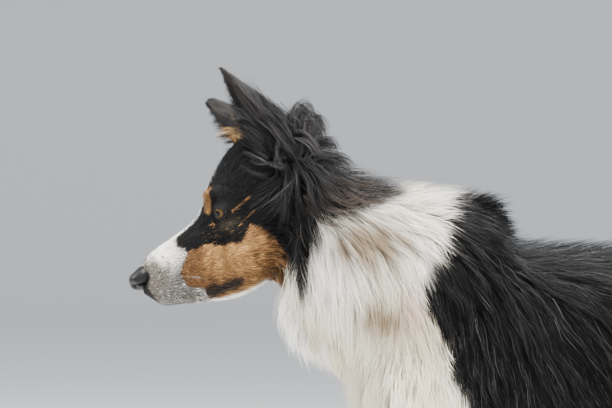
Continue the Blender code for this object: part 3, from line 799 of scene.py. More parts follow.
    # collar, chest and legs
    edge = 0.005 * ragged + 0.004 * coarse
    cape = (x < curve(CAPE_BACK, z) + edge) & (x > curve(CAPE_FRONT, z) + edge)
    saddle = (x > curve(SADDLE_FRONT, z) + edge) & ((z > 0.245 + 0.6 * np.abs(edge)) | (x > 0.20))
    belly = (np.abs(y) < 0.060 + edge) & (z < 0.300) & (x < 0.27) & (x > -0.05)
    tail = is_in(regions, *TAIL)
    hind = is_in(regions, *HINDLEG)
    pale = (trunk & ~(cape | saddle) & ~hind) | is_in(regions, *FORELEG)
    pale |= trunk & belly & ~tail & ~is_in(regions, "thigh", "shank")
    pale |= hind & (z < 0.155 + 1.2 * edge + 0.25 * (x - 0.36))
    pale |= tail & (z < 0.205 + edge)
    mix(pale, WHITE)
    tan_leg = hind & ~pale & (z < 0.215 + 1.4 * edge + 0.9 * (0.36 - x))
    inner = is_in(regions, "thigh") & (np.abs(y) < 0.052 + edge) & (z < 0.33) & (x < 0.41)
    under_tail = is_in(regions, "thigh", "rump") & (x > 0.40) & (x < 0.445) & (z < 0.37) & (z > 0.27)
    under_tail &= (np.abs(y) < 0.026 + edge) & (normals[:, 0] > 0.2)
    warm = (tan_leg | inner | under_tail) & ~pale
    mix(warm, TAN)
    mix(warm * np.clip(0.45 + 0.3 * coarse + 0.7 * (speckle - 0.5), 0, 1), DARK_TAN)
    # the creamy cast of the chest and the stained patches of the collar
    chest = ease(0.53, 0.42, z) * ease(0.02, -0.10, x)
    mix(pale * np.clip(0.12 + 0.50 * chest + 0.40 * (speckle - 0.4) + 0.22 * coarse, 0, 0.85), CREAM)
    stain = spot(x, z, (-0.142, 0.522), (0.030, 0.020)) * (0.90 + 0.7 * waves(points, 0.009, 11))
    stain += 0.9 * spot(x, z, (-0.130, 0.450), (0.018, 0.015)) * (0.6 + 0.6 * waves(points, 0.012, 12))
    mix(pale * np.clip(1.9 * stain, 0, 0.88), STAIN)
    mix(pale * np.clip(0.7 * spot(x, z, (-0.100, 0.462), (0.012, 0.022)), 0, 0.55), PINK)
    # single brown and grey hairs at the end of the cape
    stray = trunk & ~pale & (x < -0.09) & (speckle < 0.03 + 0.14 * ease(-0.19, -0.15, x))
    mix(stray * 0.60, BROWN_GREY)
    return colour, pale | muzzle | under


# ---------------------------------------------------------------- growing the coat
# Zone: regions, what its span is measured along (u in the head, x behind the withers, or the distance from
# an eye), the span, space between clumps, tufts in a clump, half width, steps along a tuft, and how much it
# clumps, waves, curls and strays
EVERYWHERE = (-9, 9)
ZONES = {
    "muzzle": (FACE, "u", (-1, 0.075), 0.0016, 5, 0.00017, 3, 0.10, 0.02, 0.0, 0.05),
    "lids": (("head",), "eye", (0, 0.020), 0.0016, 4, 0.00014, 3, 0.10, 0.02, 0.0, 0.05),
    "face": (FACE, "u", (0.075, 0.150), 0.0022, 6, 0.00020, 3, 0.15, 0.02, 0.0, 0.06),
    "poll": (FACE, "u", (0.150, 9), 0.0034, 7, 0.00022, 5, 0.60, 0.05, 0.03, 0.06),
    "ears": (EARS, "u", EVERYWHERE, 0.0028, 6, 0.00018, 4, 0.30, 0.06, 0.02, 0.10),
    "neck": (("neck",), "x", EVERYWHERE, 0.0066, 13, 0.00023, 6, 0.66, 0.05, 0.04, 0.035),
    "shoulder": (("ribcage",), "x", (-9, 0.11), 0.0086, 13, 0.00026, 6, 0.66, 0.05, 0.02, 0.035),
    "trunk": (("ribcage",), "x", (0.11, 9), 0.0098, 12, 0.00038, 5, 0.76, 0.06, 0.03, 0.035),
    "rump": (("rump",), "x", EVERYWHERE, 0.0105, 11, 0.00040, 5, 0.75, 0.05, 0.0, 0.035),
    "tail": (TAIL, "x", EVERYWHERE, 0.0068, 11, 0.00040, 5, 0.60, 0.05, 0.0, 0.06),
    "arm": (("upper_arm",), "x", EVERYWHERE, 0.0080, 10, 0.00030, 5, 0.70, 0.04, 0.0, 0.035),
    "forearm": (("forearm",), "x", EVERYWHERE, 0.0047, 6, 0.00027, 4, 0.55, 0.03, 0.0, 0.035),
    "fore_pastern": (("foreleg_pastern",), "x", EVERYWHERE, 0.0040, 5, 0.00025, 3, 0.35, 0.02, 0.0, 0.035),
    "paws": (PAWS, "x", EVERYWHERE, 0.0038, 6, 0.00020, 3, 0.35, 0.02, 0.0, 0.035),
    "thigh": (("thigh",), "x", EVERYWHERE, 0.0105, 10, 0.00040, 5, 0.70, 0.05, 0.0, 0.035),
    "shank": (("shank",), "x", EVERYWHERE, 0.0062, 7, 0.00034, 4, 0.60, 0.03, 0.0, 0.035),
    "hind_pastern": (("hindleg_pastern",), "x", EVERYWHERE, 0.0044, 5, 0.00026, 3, 0.35, 0.02, 0.0, 0.035),
}
LENGTHS = {
    "neck": 0.058, "ribcage": 0.062, "rump": 0.060, "tail_root": 0.080, "tail_brush": 0.085,
    "upper_arm": 0.042, "forearm": 0.020, "foreleg_pastern": 0.010, "forepaw": 0.0090, "thigh": 0.050,
    "shank": 0.028, "hindleg_pastern": 0.011, "hindpaw": 0.0090,
}
OTHER_LENGTH = 0.004
STIFFNESS = 0.5  # how much of its own way a clump keeps at each step
ASTRAY = 0.14  # how far clumps set out from the lie of the coat
LEAST_DEPTH, LEAST_EAR_DEPTH = 0.0012, 0.0022
ROOT_LEVEL = -0.0005  # roots start this far under the skin
SHEEN_SHARE = 0.08  # of the dark tufts, twice as light as the others, as painted sheen
WHITE_ROOT_SHADE, DARK_ROOT_SHADE = 0.72, 0.5  # how light a tuft is at its root, as painted shade deep in the coat

low, high = (np.array(corner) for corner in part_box("tail_brush"))
TAIL_TIP = np.array((high[0] - 0.006, 0.0, low[2] + 0.006))


def hair_length(points, regions):
    """The length of the hair at each place."""
    base = np.array([LENGTHS.get(name, OTHER_LENGTH) for name in REGIONS])[regions]
    u, v, n = in_head(points).T
    x, _, z = (points - WITHERS).T
    face = (
        0.0030 + 0.0030 * ease(0.03, 0.08, u) + 0.0060 * ease(0.10, 0.145, u)
        + 0.016 * ease(0.150, 0.195, u)
    )
    face = face * (1 - 0.45 * ease(0.01, 0.05, n) * ease(0.16, 0.12, u))
    for side in EYES.values():
        distance = np.linalg.norm(np.stack((u, v, n), -1) - EYE_IN_HEAD * (1, side, 1), axis=1)
        face = face * (0.55 + 0.45 * ease(0.012, 0.024, distance))
    face = face + 0.006 * ease(-0.045, -0.06, n) * ease(0.05, 0.10, u)
    base = np.where(is_in(regions, *FACE), face, base)
    ear = 0.0085 + 0.015 * ease(0.120, 0.075, n) + 0.008 * ease(0.175, 0.200, u)
    base = np.where(is_in(regions, *EARS), ear, base)
    base = base + is_in(regions, "neck") * (0.018 * ease(0.50, 0.42, z) - 0.018 * ease(0.60, 0.64, z))
    base = base - is_in(regions, "ribcage") * 0.014 * ease(0.54, 0.56, z)
    base = base + is_in(regions, "forearm") * (0.024 * ease(-0.012, 0.015, x) - 0.006 * ease(0.0, -0.04, x))
    base = base - is_in(regions, "tail_root") * 0.035 * ease(0.470, 0.430, x)
    # hair near the end of the tail stops where the tail does
    left = np.linalg.norm(points - TAIL_TIP, axis=1)
    base = np.where(is_in(regions, "tail_brush"), np.minimum(base, 0.004 + 0.80 * left), base)
    return base + is_in(regions, "thigh", "shank") * 0.026 * ease(0.37, 0.42, x) * ease(0.19, 0.26, z)


def bare(points):
    """Places where no hair grows: between the lids, on the lips and under the nose leather."""
    u, _, n = in_head(points).T
    found = in_nose(points) < 1.05
    found |= (np.abs(n - curve(MOUTH, u)) < 0.0007) & (u < 0.100) & (u > 0.070)
    for side in EYES.values():
        share, distance = slit_share(points, side)
        found |= (share < 1.10) & (distance < 0.016)
    return found


def scatter(names, axis, span, space, seed):
    """Points spread evenly but not in rows over the skin of these regions: face and place in it."""
    local = np.random.default_rng(seed)
    middle = skin_points[skin_faces].mean(1)
    if axis == "eye":
        at = np.min([np.linalg.norm(middle - eye_frame(side)[0], axis=1) for side in EYES.values()], axis=0)
    else:
        at = in_head(middle)[:, 0] if axis == "u" else middle[:, 0] - WITHERS[0]
    inside = is_in(skin_region[skin_faces[:, 0]], *names) & (at >= span[0]) & (at < span[1])
    faces = np.nonzero(inside)[0]
    a, b, c = (skin_points[skin_faces[faces, i]] for i in range(3))
    area = np.linalg.norm(np.cross(b - a, c - a), axis=1) / 2
    tries = int(area.sum() / space**2 * 4)
    chosen = local.choice(len(faces), size=tries, p=area / area.sum())
    r1, r2 = np.sqrt(local.random(tries)), local.random(tries)
    weights = np.stack((1 - r1, r1 * (1 - r2), r1 * r2), -1)
    places = (weights[:, :, None] * np.stack((a[chosen], b[chosen], c[chosen]), 1)).sum(1)
    cells = np.floor(places / space * 1.25).astype(np.int64)
    limit = (space * 0.80) ** 2
    around = [(i, j, k) for i in (-1, 0, 1) for j in (-1, 0, 1) for k in (-1, 0, 1)]
    taken, keep = {}, []
    listed = places.tolist()
    for i, cell in enumerate(map(tuple, cells.tolist())):
        if cell in taken:
            continue
        px, py, pz = listed[i]
        for dx, dy, dz in around:
            other = taken.get((cell[0] + dx, cell[1] + dy, cell[2] + dz))
            if other and (other[0] - px) ** 2 + (other[1] - py) ** 2 + (other[2] - pz) ** 2 < limit:
                break
        else:
            taken[cell] = (px, py, pz)
            keep.append(i)
    keep = np.array(keep)
    keep = keep[~bare(places[keep])]
    return faces[chosen[keep]], places[keep]


def march(start, face, lengths, steps, seed):
    """Walks each clump over the skin along the lie of the coat: points, normals, ways and coat depth."""
    local = np.random.default_rng(seed)
    count = len(start)
    points = np.empty((count, steps + 1, 3))
    normals, ways, depths = np.empty_like(points), np.empty_like(points), np.empty((count, steps + 1))
    corner = skin_faces[face]
    way = flow[corner].mean(1) + ASTRAY * local.normal(size=(count, 3))
    way = onto_surface(way, skin_normal[corner].mean(1))
    place = start.copy()
    for k in range(steps + 1):
        normal = unit(skin_normal[corner].mean(1))
        points[:, k], normals[:, k], depths[:, k] = place, normal, skin_depth[corner].mean(1)
        way = onto_surface(way, normal)
        ways[:, k] = way
        if k == steps:
            break
        ahead = place + way * (lengths / steps)[:, None]
        hits = [skin_tree.find_nearest(Vector(p)) for p in ahead]
        onward = skin_faces[[h[2] for h in hits]]
        same = np.sum(unit(skin_normal[onward].mean(1)) * normal, 1, keepdims=True) > 0.1
        place = np.where(same, np.array([h[0] for h in hits]), ahead)
        corner = np.where(same, onward, corner)
        way = np.where(same, way * STIFFNESS + flow[corner].mean(1) * (1 - STIFFNESS), way)
    return points, normals, ways, depths


def smooth_along(values, rounds=1):
    for _ in range(rounds):
        middle = (values[:, :-2] + values[:, 2:]) / 2
        values = np.concatenate([values[:, :1], 0.5 * values[:, 1:-1] + 0.5 * middle, values[:, -1:]], 1)
    return values


def chart(points, regions):
    """A flat map of the skin for baking: each limb unrolled round its own middle line."""
    x, y, z = (points - WITHERS).T
    u, v, n = in_head(points).T
    place = np.empty((len(points), 2))

    def unroll(names, along, low, high, side, up, box):
        which = is_in(regions, *names)
        turn = np.arctan2(side, up) / (2 * math.pi) + 0.5
        left, bottom, wide, tall = box
        place[which, 0] = left + wide * np.clip((along - low) / (high - low), 0, 1)[which]
        place[which, 1] = bottom + tall * turn[which]

    unroll(BODY, x, -0.26, 0.46, y, z - 0.42, (0.01, 0.01, 0.60, 0.55))
    unroll((*FACE, "nose"), u, 0.0, 0.25, v, n - 0.005, (0.01, 0.60, 0.38, 0.38))
    unroll(TAIL, z, 0.10, 0.50, y, x - 0.49 + 0.1 * z, (0.64, 0.01, 0.34, 0.20))
    for name, left in (("ear_left", 0.42), ("ear_right", 0.52)):
        base, direction = ear_axis(name)
        away = points - base
        box = (left, 0.60, 0.09, 0.38)
        unroll((name,), away @ direction, -0.03, 0.11, away @ HEAD[:, 1], away @ HEAD[:, 0], box)
    left_side = y < 0
    for names, middle, bottom in ((FORELEG, -0.025, 0.23), (HINDLEG, 0.375, 0.61)):
        for mask, shift, sign in ((left_side, 0.0, -1), (~left_side, 0.18, 1)):
            which = is_in(regions, *names) & mask
            turn = np.arctan2(y - sign * 0.078, x - middle) / (2 * math.pi) + 0.5
            place[which, 0] = (0.64 + 0.34 * np.clip(z / 0.27, 0, 1))[which]
            place[which, 1] = (bottom + shift + 0.17 * turn)[which]
    return place


SEEN_AT = (0.35, 0.62, 0.9)  # where along a tuft its colour is read
MOST_TRIANGLES = 190000  # in one piece of the coat
FLOOR_GAP = 0.0005  # how far hair stays above the floor


class Tufts:
    """Collects flat tapering tufts and turns them into mesh pieces."""

    def __init__(self):
        self.parts = []

    def add(self, paths, outward, width, colours, place, root_shade, tip_sheen):
        """paths: tufts x points x 3. outward: the way each flat side faces. width: half width at the root.
        colours: tufts x places along them x 3."""
        count, rows = paths.shape[:2]
        paths[:, :, 2] = np.maximum(paths[:, :, 2], FLOOR_GAP)
        side = unit(np.cross(np.gradient(paths, axis=1), outward))
        t = np.linspace(0, 1, rows)
        taper = (0.55 + 0.45 * np.sin(np.minimum(t * 2.6, 1.57))) * (1 - t**2.4)
        reach = (width[:, None] * taper)[:, :, None] * side
        strip = np.stack((paths - reach, paths + reach), 2)[:, :-1].reshape(count, -1, 3)
        vertices = np.concatenate([strip, paths[:, -1:]], 1)
        # shaded as if each tuft were round
        turned = np.stack((unit(outward - 0.75 * side), unit(outward + 0.75 * side)), 2)[:, :-1]
        normals = np.concatenate([turned.reshape(count, -1, 3), outward[:, -1:]], 1)
        self.parts.append((vertices, normals, colours, place, root_shade, tip_sheen))

    def build(self, name):
        """Objects of at most MOST_TRIANGLES each."""
        made, chunk, load = [], [], 0
        for part in self.parts:
            per = 2 * ((part[0].shape[1] - 1) // 2 - 1) + 1
            start = 0
            while start < len(part[0]):
                room = (MOST_TRIANGLES - load) // per
                if room <= 0:
                    made.append(self.piece(f"{name}_{len(made) + 1}", chunk))
                    chunk, load = [], 0
                    continue
                take = min(room, len(part[0]) - start)
                chunk.append(tuple(item[start : start + take] for item in part))
                load += take * per
                start += take
        made.append(self.piece(f"{name}_{len(made) + 1}", chunk))
        return made

    def piece(self, name, chunk):
        vertices, normals, corners, sizes, uvs, colours = [], [], [], [], [], []
        start = 0
        for points, turned, shades, place, root_shade, tip_sheen in chunk:
            count, per = points.shape[:2]
            rows = (per - 1) // 2
            one = []
            for k in range(rows - 1):
                one += [2 * k, 2 * k + 1, 2 * k + 3, 2 * k + 2]
            one += [per - 3, per - 2, per - 1]
            one = np.array(one)
            corners.append((start + np.arange(count)[:, None] * per + one).ravel())
            sizes.append(np.tile(np.array([4] * (rows - 1) + [3]), count))
            vertices.append(points.reshape(-1, 3))
            normals.append(turned.reshape(-1, 3))
            t = np.concatenate([np.repeat(np.arange(rows), 2), [rows]]) / rows
            aside = np.concatenate([np.tile((0.0, 1.0), rows), [0.5]])
            uvs.append((place[:, None] + np.stack((t, aside), -1) * 0.003)[:, one].reshape(-1, 2))
            # painted sheen towards the tip and painted shade at the root
            tone = 1 + (tip_sheen[:, None] - 1) * t[None] ** 1.3
            tone = tone * (root_shade[:, None] + (1 - root_shade[:, None]) * np.minimum(t * 2.5, 1)[None])
            step = np.interp(t, SEEN_AT, np.arange(len(SEEN_AT))) if shades.shape[1] > 1 else t * 0
            low = np.minimum(step.astype(int), max(shades.shape[1] - 2, 0))
            high = np.minimum(low + 1, shades.shape[1] - 1)
            rgb = shades[:, low] + (shades[:, high] - shades[:, low]) * (step - low)[None, :, None]
            colours.append(np.clip(rgb * tone[:, :, None], 0, 1).reshape(-1, 3))
            start += count * per
        vertices, normals = np.concatenate(vertices), np.concatenate(normals)
        corners, sizes = np.concatenate(corners), np.concatenate(sizes)
        mesh = bpy.data.meshes.new(name)
        mesh.vertices.add(len(vertices))
        mesh.vertices.foreach_set("co", vertices.astype(np.float32).ravel())
        mesh.loops.add(len(corners))
        mesh.loops.foreach_set("vertex_index", corners.astype(np.int32))
        mesh.polygons.add(len(sizes))
        mesh.polygons.foreach_set("loop_start", (np.cumsum(sizes) - sizes).astype(np.int32))
        mesh.update(calc_edges=True)
        layer = mesh.uv_layers.new(name="OFBake")
        layer.uv.foreach_set("vector", np.concatenate(uvs).astype(np.float32).ravel())
        paint(mesh, "coat", np.concatenate(colours))
        mesh.shade_smooth()
        mesh.normals_split_custom_set_from_vertices(normals.astype(np.float32).tolist())
        return new_object(name, mesh)


tufts = Tufts()
zone_triangles = {}


def colours_of(path, normals, regions, local):
    """Colours of tufts at a few places along them, then the root tone, which is painted shade, and the tip
    tone, which on dark tufts is painted sheen.
    """
    total, steps = len(path), path.shape[1] - 1
    speckle = local.random(total)
    read_at = [max(1, int(round(steps * share))) for share in SEEN_AT]
    colours, white = [], None
    for k in read_at:
        colour, white = markings(path[:, k], normals[:, k], regions, speckle)
        colours.append(colour)
    shade = np.exp(local.normal(size=total) * np.where(white, 0.05, 0.25))
    # painted sheen: a share of the dark tufts drawn twice as light
    shade = shade * np.where(~white & (local.random(total) < SHEEN_SHARE), 2.0, 1.0)
    # dark tufts mostly grow lighter towards their tips, as painted sheen
    tip = np.where(white, local.uniform(0.94, 1.06, total), local.uniform(0.8, 1.5, total))
    return np.stack(colours, 1) * shade[:, None, None], np.where(white, WHITE_ROOT_SHADE, DARK_ROOT_SHADE), tip


def grow(zone, seed):
    """Clumps of tufts over one zone."""
    names, axis, span, space, per, half, steps, clump, wave, curl, stray = ZONES[zone]
    local = np.random.default_rng(seed)
    face, start = scatter(names, axis, span, space, seed)
    corner = skin_faces[face]
    clump_region = skin_region[corner[:, 0]]
    lengths = hair_length(start, clump_region) * local.uniform(0.8, 1.15, len(start))
    points, normals, ways, depths = march(start, face, lengths, steps, seed + 1)
    points, normals = smooth_along(points, 2), unit(smooth_along(normals, 2))
    depths = np.maximum(smooth_along(depths, 1), LEAST_EAR_DEPTH if zone == "ears" else LEAST_DEPTH)
    count = len(start)
    t = np.linspace(0, 1, steps + 1)
    # each tuft sets out beside its clump's middle and closes up on it towards the tip
    who = np.repeat(np.arange(count), per)
    total = len(who)
    zone_triangles[zone] = total * (2 * steps - 1)
    binormal = unit(np.cross(normals, ways))
    angle = local.random(total) * FULL_TURN
    radius = np.sqrt(local.random(total)) * space * 0.62
    aside = (np.cos(angle) * radius)[:, None, None] * binormal[who]
    aside = aside + (np.sin(angle) * radius)[:, None, None] * ways[who]
    stay = 1 - clump * local.uniform(0.6, 1.2, total)[:, None] * t[None] ** 1.2
    size = lengths[who] * local.uniform(0.72, 1.12, total)
    stretch = (size / lengths[who])[:, None, None]
    path = points[who, :1] + (points[who] - points[who, :1]) * stretch + aside * stay[:, :, None]
    # the hair rises from the skin and then lies along the outline
    level = local.uniform(0.60, 1.0, total)[:, None] * depths[who]
    level = np.minimum(level, (size * 0.8)[:, None])
    height = ROOT_LEVEL + level * (1 - (1 - t[None]) ** (2.0 if steps < 5 else 1.45))
    path = path + normals[who] * height[:, :, None]
    # waves are shared by a clump, and each tuft strays a little of its own
    phase = waves(start, 0.03, seed)[who] * 3 + local.normal(size=total) * 0.5
    rate = (5.5 + 2.0 * local.random(total))[:, None]
    bend = wave * size[:, None] * np.sin(t[None] * rate + phase[:, None]) * t[None]
    path = path + binormal[who] * bend[:, :, None]
    if curl:
        turn = t[None] * 5.0 + phase[:, None]
        hook = curl * size[:, None] * t[None] ** 2
        path = path + binormal[who] * (hook * np.sin(turn))[:, :, None]
    own = local.normal(size=(total, 3)) * stray
    own -= normals[who, 0] * np.sum(own * normals[who, 0], 1, keepdims=True) * 0.6
    path = path + own[:, None] * size[:, None, None] * (t[None] ** 1.6)[:, :, None]
    colours, root, tip = colours_of(path, normals[who], clump_region[who], local)
    # painted shade: the tufts of the paws are darker in the grooves of the skin
    if zone == "paws":
        colours = colours * (1 - 0.42 * skin_hollow[corner].mean(1))[who, None, None]
    facing = unit(normals[who] + local.normal(size=(total, 1, 3)) * 0.30)
    width = half * local.uniform(0.7, 1.3, total)
    tufts.add(path, facing, width, colours, chart(path[:, 0], clump_region[who]), root, tip)


for number, zone in enumerate(ZONES):
    grow(zone, 100 + 10 * number)


def spline(points, steps):
    """A smooth line through a few points."""
    p = np.asarray(points, float)
    p = np.concatenate([2 * p[:1] - p[1:2], p, 2 * p[-1:] - p[-2:-1]])
    at = np.linspace(0, len(p) - 3, steps + 1)
    i = np.minimum(at.astype(int), len(p) - 4)
    t = (at - i)[:, None]
    a, b, c, d = p[i], p[i + 1], p[i + 2], p[i + 3]
    return 0.5 * (2 * b + (c - a) * t + (2 * a - 5 * b + 4 * c - d) * t**2 + (3 * b - a - 3 * c + d) * t**3)


def lock(line, count, spread, half, tint, seed, steps=8, fray=0.05, root=0.5, close=0.75):
    """A lock of fine tufts round one line, which closes up towards its tip."""
    local = np.random.default_rng(seed)
    middle = spline(line, steps)
    along = unit(np.gradient(middle, axis=0))
    first = unit(np.cross(along, (0.3, 1.0, 0.2)))
    second = np.cross(along, first)
    t = np.linspace(0, 1, steps + 1)
    angle, radius = local.random(count) * FULL_TURN, np.sqrt(local.random(count)) * spread
    out = np.cos(angle)[:, None, None] * first + np.sin(angle)[:, None, None] * second
    own = local.normal(size=(count, 3)) * fray
    length = np.linalg.norm(np.diff(middle, axis=0), axis=1).sum()
    stretch = local.uniform(0.75, 1.08, count)[:, None, None]
    path = middle[:1] + (middle - middle[:1]) * stretch
    path = path + out * radius[:, None, None] * (1 - close * t)[None, :, None]
    path = path + own[:, None] * length * (t**1.6)[None, :, None]
    shades = tint * np.exp(local.normal(size=count) * 0.35)[:, None, None]
    place = chart(path[:, 0], np.full(count, REGIONS.index("head")))
    facing = unit(out + 0.3 * local.normal(size=(count, 1, 3)))
    width = half * local.uniform(0.7, 1.3, count)
    # the root tone is painted shade and the lighter tips are painted sheen
    tufts.add(path, facing, width, shades, place, np.full(count, root), local.uniform(0.9, 1.7, count))


def on_side(x, z, side, lift, last=0.05):
    """A point over the coat of one side of the dog, seen square on, and how far out the coat is there."""
    origin = from_withers((x, side * 0.4, z))
    hit = outline_tree.ray_cast(Vector(origin), Vector((0, -side, 0)), 0.45)
    out = abs(hit[0][1] - WITHERS[1]) if hit[0] is not None else last
    return from_withers((x, side * (out + lift), z)), out


# Long locks, each drawn by a few places behind the withers and up
# curls that stand up behind the ears
CURLS = (
    (
        (-0.217, 0.617), (-0.214, 0.637), (-0.212, 0.653), (-0.207, 0.661), (-0.201, 0.656),
        (-0.199, 0.645), (-0.202, 0.634),
    ),
    ((-0.212, 0.620), (-0.208, 0.638), (-0.205, 0.650), (-0.199, 0.652), (-0.195, 0.643), (-0.197, 0.632)),
    ((-0.205, 0.612), (-0.199, 0.628), (-0.195, 0.641), (-0.190, 0.645), (-0.186, 0.638), (-0.188, 0.629)),
    ((-0.222, 0.618), (-0.223, 0.638), (-0.220, 0.652), (-0.215, 0.661)),
    ((-0.219, 0.622), (-0.218, 0.643), (-0.213, 0.658)),
    ((-0.205, 0.606), (-0.192, 0.622), (-0.179, 0.624), (-0.172, 0.614)),
    ((-0.200, 0.600), (-0.184, 0.610), (-0.168, 0.608), (-0.160, 0.598)),
    ((-0.216, 0.628), (-0.206, 0.628), (-0.196, 0.620), (-0.188, 0.608)),
)
# locks that fan out below them over the side of the neck
FAN = (
    ((-0.223, 0.609), (-0.226, 0.595), (-0.236, 0.580), (-0.250, 0.568), (-0.258, 0.562)),
    ((-0.221, 0.605), (-0.222, 0.587), (-0.230, 0.567), (-0.240, 0.551)),
    ((-0.218, 0.602), (-0.217, 0.582), (-0.220, 0.562), (-0.224, 0.539)),
    ((-0.214, 0.602), (-0.210, 0.582), (-0.209, 0.562), (-0.207, 0.539)),
    ((-0.210, 0.601), (-0.202, 0.584), (-0.194, 0.567), (-0.188, 0.547)),
    ((-0.205, 0.602), (-0.192, 0.587), (-0.180, 0.571), (-0.165, 0.555)),
    ((-0.205, 0.607), (-0.188, 0.601), (-0.172, 0.589), (-0.158, 0.581)),
)
# locks over the temple and the foot of the ear
TEMPLE = (
    ((-0.258, 0.612), (-0.250, 0.605), (-0.239, 0.600), (-0.226, 0.599)),
    ((-0.258, 0.620), (-0.249, 0.616), (-0.238, 0.611), (-0.224, 0.609)),
    ((-0.277, 0.654), (-0.264, 0.650), (-0.252, 0.643), (-0.240, 0.633)),
    ((-0.276, 0.647), (-0.262, 0.641), (-0.250, 0.633), (-0.238, 0.623)),
    ((-0.272, 0.640), (-0.258, 0.632), (-0.246, 0.622), (-0.234, 0.613)),
    ((-0.228, 0.642), (-0.226, 0.628), (-0.230, 0.612), (-0.224, 0.600)),
    ((-0.238, 0.642), (-0.248, 0.651), (-0.259, 0.664), (-0.268, 0.680)),
    ((-0.230, 0.649), (-0.242, 0.657), (-0.255, 0.670), (-0.266, 0.685)),
    ((-0.245, 0.636), (-0.254, 0.646), (-0.263, 0.660), (-0.271, 0.676)),
    ((-0.246, 0.662), (-0.237, 0.653), (-0.227, 0.641), (-0.219, 0.627), (-0.213, 0.613)),
    ((-0.252, 0.653), (-0.243, 0.642), (-0.232, 0.630), (-0.222, 0.618), (-0.214, 0.606)),
    ((-0.245, 0.658), (-0.235, 0.651), (-0.225, 0.641), (-0.217, 0.630)),
    ((-0.258, 0.641), (-0.248, 0.631), (-0.237, 0.620), (-0.226, 0.610)),
    ((-0.235, 0.654), (-0.227, 0.648), (-0.219, 0.640), (-0.212, 0.631)),
    ((-0.242, 0.640), (-0.248, 0.649), (-0.256, 0.660), (-0.264, 0.673)),
    ((-0.252, 0.640), (-0.257, 0.649), (-0.263, 0.660), (-0.269, 0.672)),
    ((-0.268, 0.646), (-0.256, 0.645), (-0.245, 0.640), (-0.234, 0.631)),
    ((-0.264, 0.632), (-0.252, 0.624), (-0.240, 0.616), (-0.228, 0.608)),
)
# brown ends of the cape
HOOKS = (
    ((-0.200, 0.585), (-0.180, 0.572), (-0.160, 0.566), (-0.146, 0.577)),
    ((-0.198, 0.575), (-0.176, 0.560), (-0.156, 0.556), (-0.144, 0.564)),
    ((-0.180, 0.590), (-0.158, 0.580), (-0.138, 0.578), (-0.124, 0.586)),
    ((-0.170, 0.580), (-0.150, 0.568), (-0.132, 0.566), (-0.118, 0.572)),
    ((-0.205, 0.565), (-0.190, 0.550), (-0.172, 0.543), (-0.160, 0.548)),
)
# pale wisps that point forward from the foot of each ear
WISPS = (
    ((-0.258, 0.626), (-0.270, 0.630), (-0.280, 0.631), (-0.291, 0.626)),
    ((-0.260, 0.630), (-0.272, 0.635), (-0.283, 0.636), (-0.293, 0.631)),
    ((-0.264, 0.634), (-0.274, 0.639), (-0.284, 0.638), (-0.288, 0.634)),
    ((-0.266, 0.638), (-0.274, 0.646), (-0.279, 0.654)),
)
# tufts of the ruff that hang clear of the chest
RUFF = (
    ((-0.203, 0.500), (-0.215, 0.470), (-0.226, 0.446), (-0.226, 0.430)),
    ((-0.198, 0.486), (-0.209, 0.458), (-0.218, 0.435), (-0.214, 0.420)),
    ((-0.190, 0.468), (-0.200, 0.442), (-0.204, 0.421), (-0.198, 0.407)),
    ((-0.181, 0.450), (-0.189, 0.425), (-0.189, 0.405), (-0.182, 0.392)),
)
# How far the first point of a lock, the second and the others stand out from the coat
LIFT = (-0.008, -0.001, 0.0005)
TEMPLE_LIFT = (-0.003, 0.0008, 0.0016)
# Table, copies of each line, colour, its darkest and palest share, spread, tufts, half width, steps, fray,
# how far copies and their points wander, lift
# the curls, fan and temple locks are black hair drawn grey as painted sheen
LOCKS = (
    (CURLS, 6, SHEEN_GREY, (0.03, 0.80), 0.0020, 22, 0.00020, 14, 0.035, 0.0036, 0.0008, LIFT),
    (FAN, 5, SHEEN_GREY, (0.02, 0.40), 0.0034, 17, 0.00018, 9, 0.045, 0.0058, 0.0022, LIFT),
    (TEMPLE, 5, SHEEN_GREY, (0.05, 0.85), 0.0034, 17, 0.00018, 9, 0.045, 0.0052, 0.0022, TEMPLE_LIFT),
    (HOOKS, 3, BROWN_GREY * 0.5, (0.30, 1.0), 0.0022, 14, 0.00017, 9, 0.020, 0.0036, 0.0008, LIFT),
    (WISPS, 3, BLOND, (0.20, 0.75), 0.0012, 6, 0.00013, 8, 0.035, 0.0018, 0.0008, LIFT),
    (RUFF, 4, WHITE * 0.92, (1.0, 1.0), 0.0085, 60, 0.00024, 10, 0.060, 0.0036, 0.0008, LIFT),
)


def new_seed(local):
    return int(local.integers(1 << 30))


def lay_line(line, side, astray, wander, lift, local):
    """A copy of a line laid over the coat of one side."""
    shift = local.normal(size=2) * astray
    laid, out = [], 0.05
    for k, (x, z) in enumerate(line):
        off = shift * (1.0 - 0.3 * k / len(line)) + local.normal(size=2) * wander
        point, out = on_side(x + off[0], z + off[1], side, lift[min(k, 2)], out)
        laid.append(point)
    return np.array(laid)


def hang(laid, side, local):
    """Moves a tuft of the ruff in from the side to hang under the neck, and varies its length."""
    apart = side * local.uniform(0.002, 0.048)
    laid[:, 1] = WITHERS[1] + apart * np.linspace(0.85, 1.1, len(laid))
    laid += (laid - laid[0]) * local.uniform(-0.25, 0.05)


def grow_locks(side):
    local = np.random.default_rng(60 + side)
    for table, copies, tint, tones, spread, count, half, steps, fray, astray, wander, lift in LOCKS:
        for line in table:
            for _ in range(copies):
                laid = lay_line(line, side, astray, wander, lift, local)
                if table is RUFF:
                    hang(laid, side, local)
                else:
                    for _ in range(2):
                        laid[1:-1, 1] = (laid[:-2, 1] + laid[1:-1, 1] + laid[2:, 1]) / 3
                tone = tint * local.uniform(*tones)
                # painted shade at the roots of the locks
                root = 0.8 if table is RUFF else 0.45
                lock(laid, count, spread, half, tone, new_seed(local), steps, fray, root)


for side in (-1, 1):
    grow_locks(side)

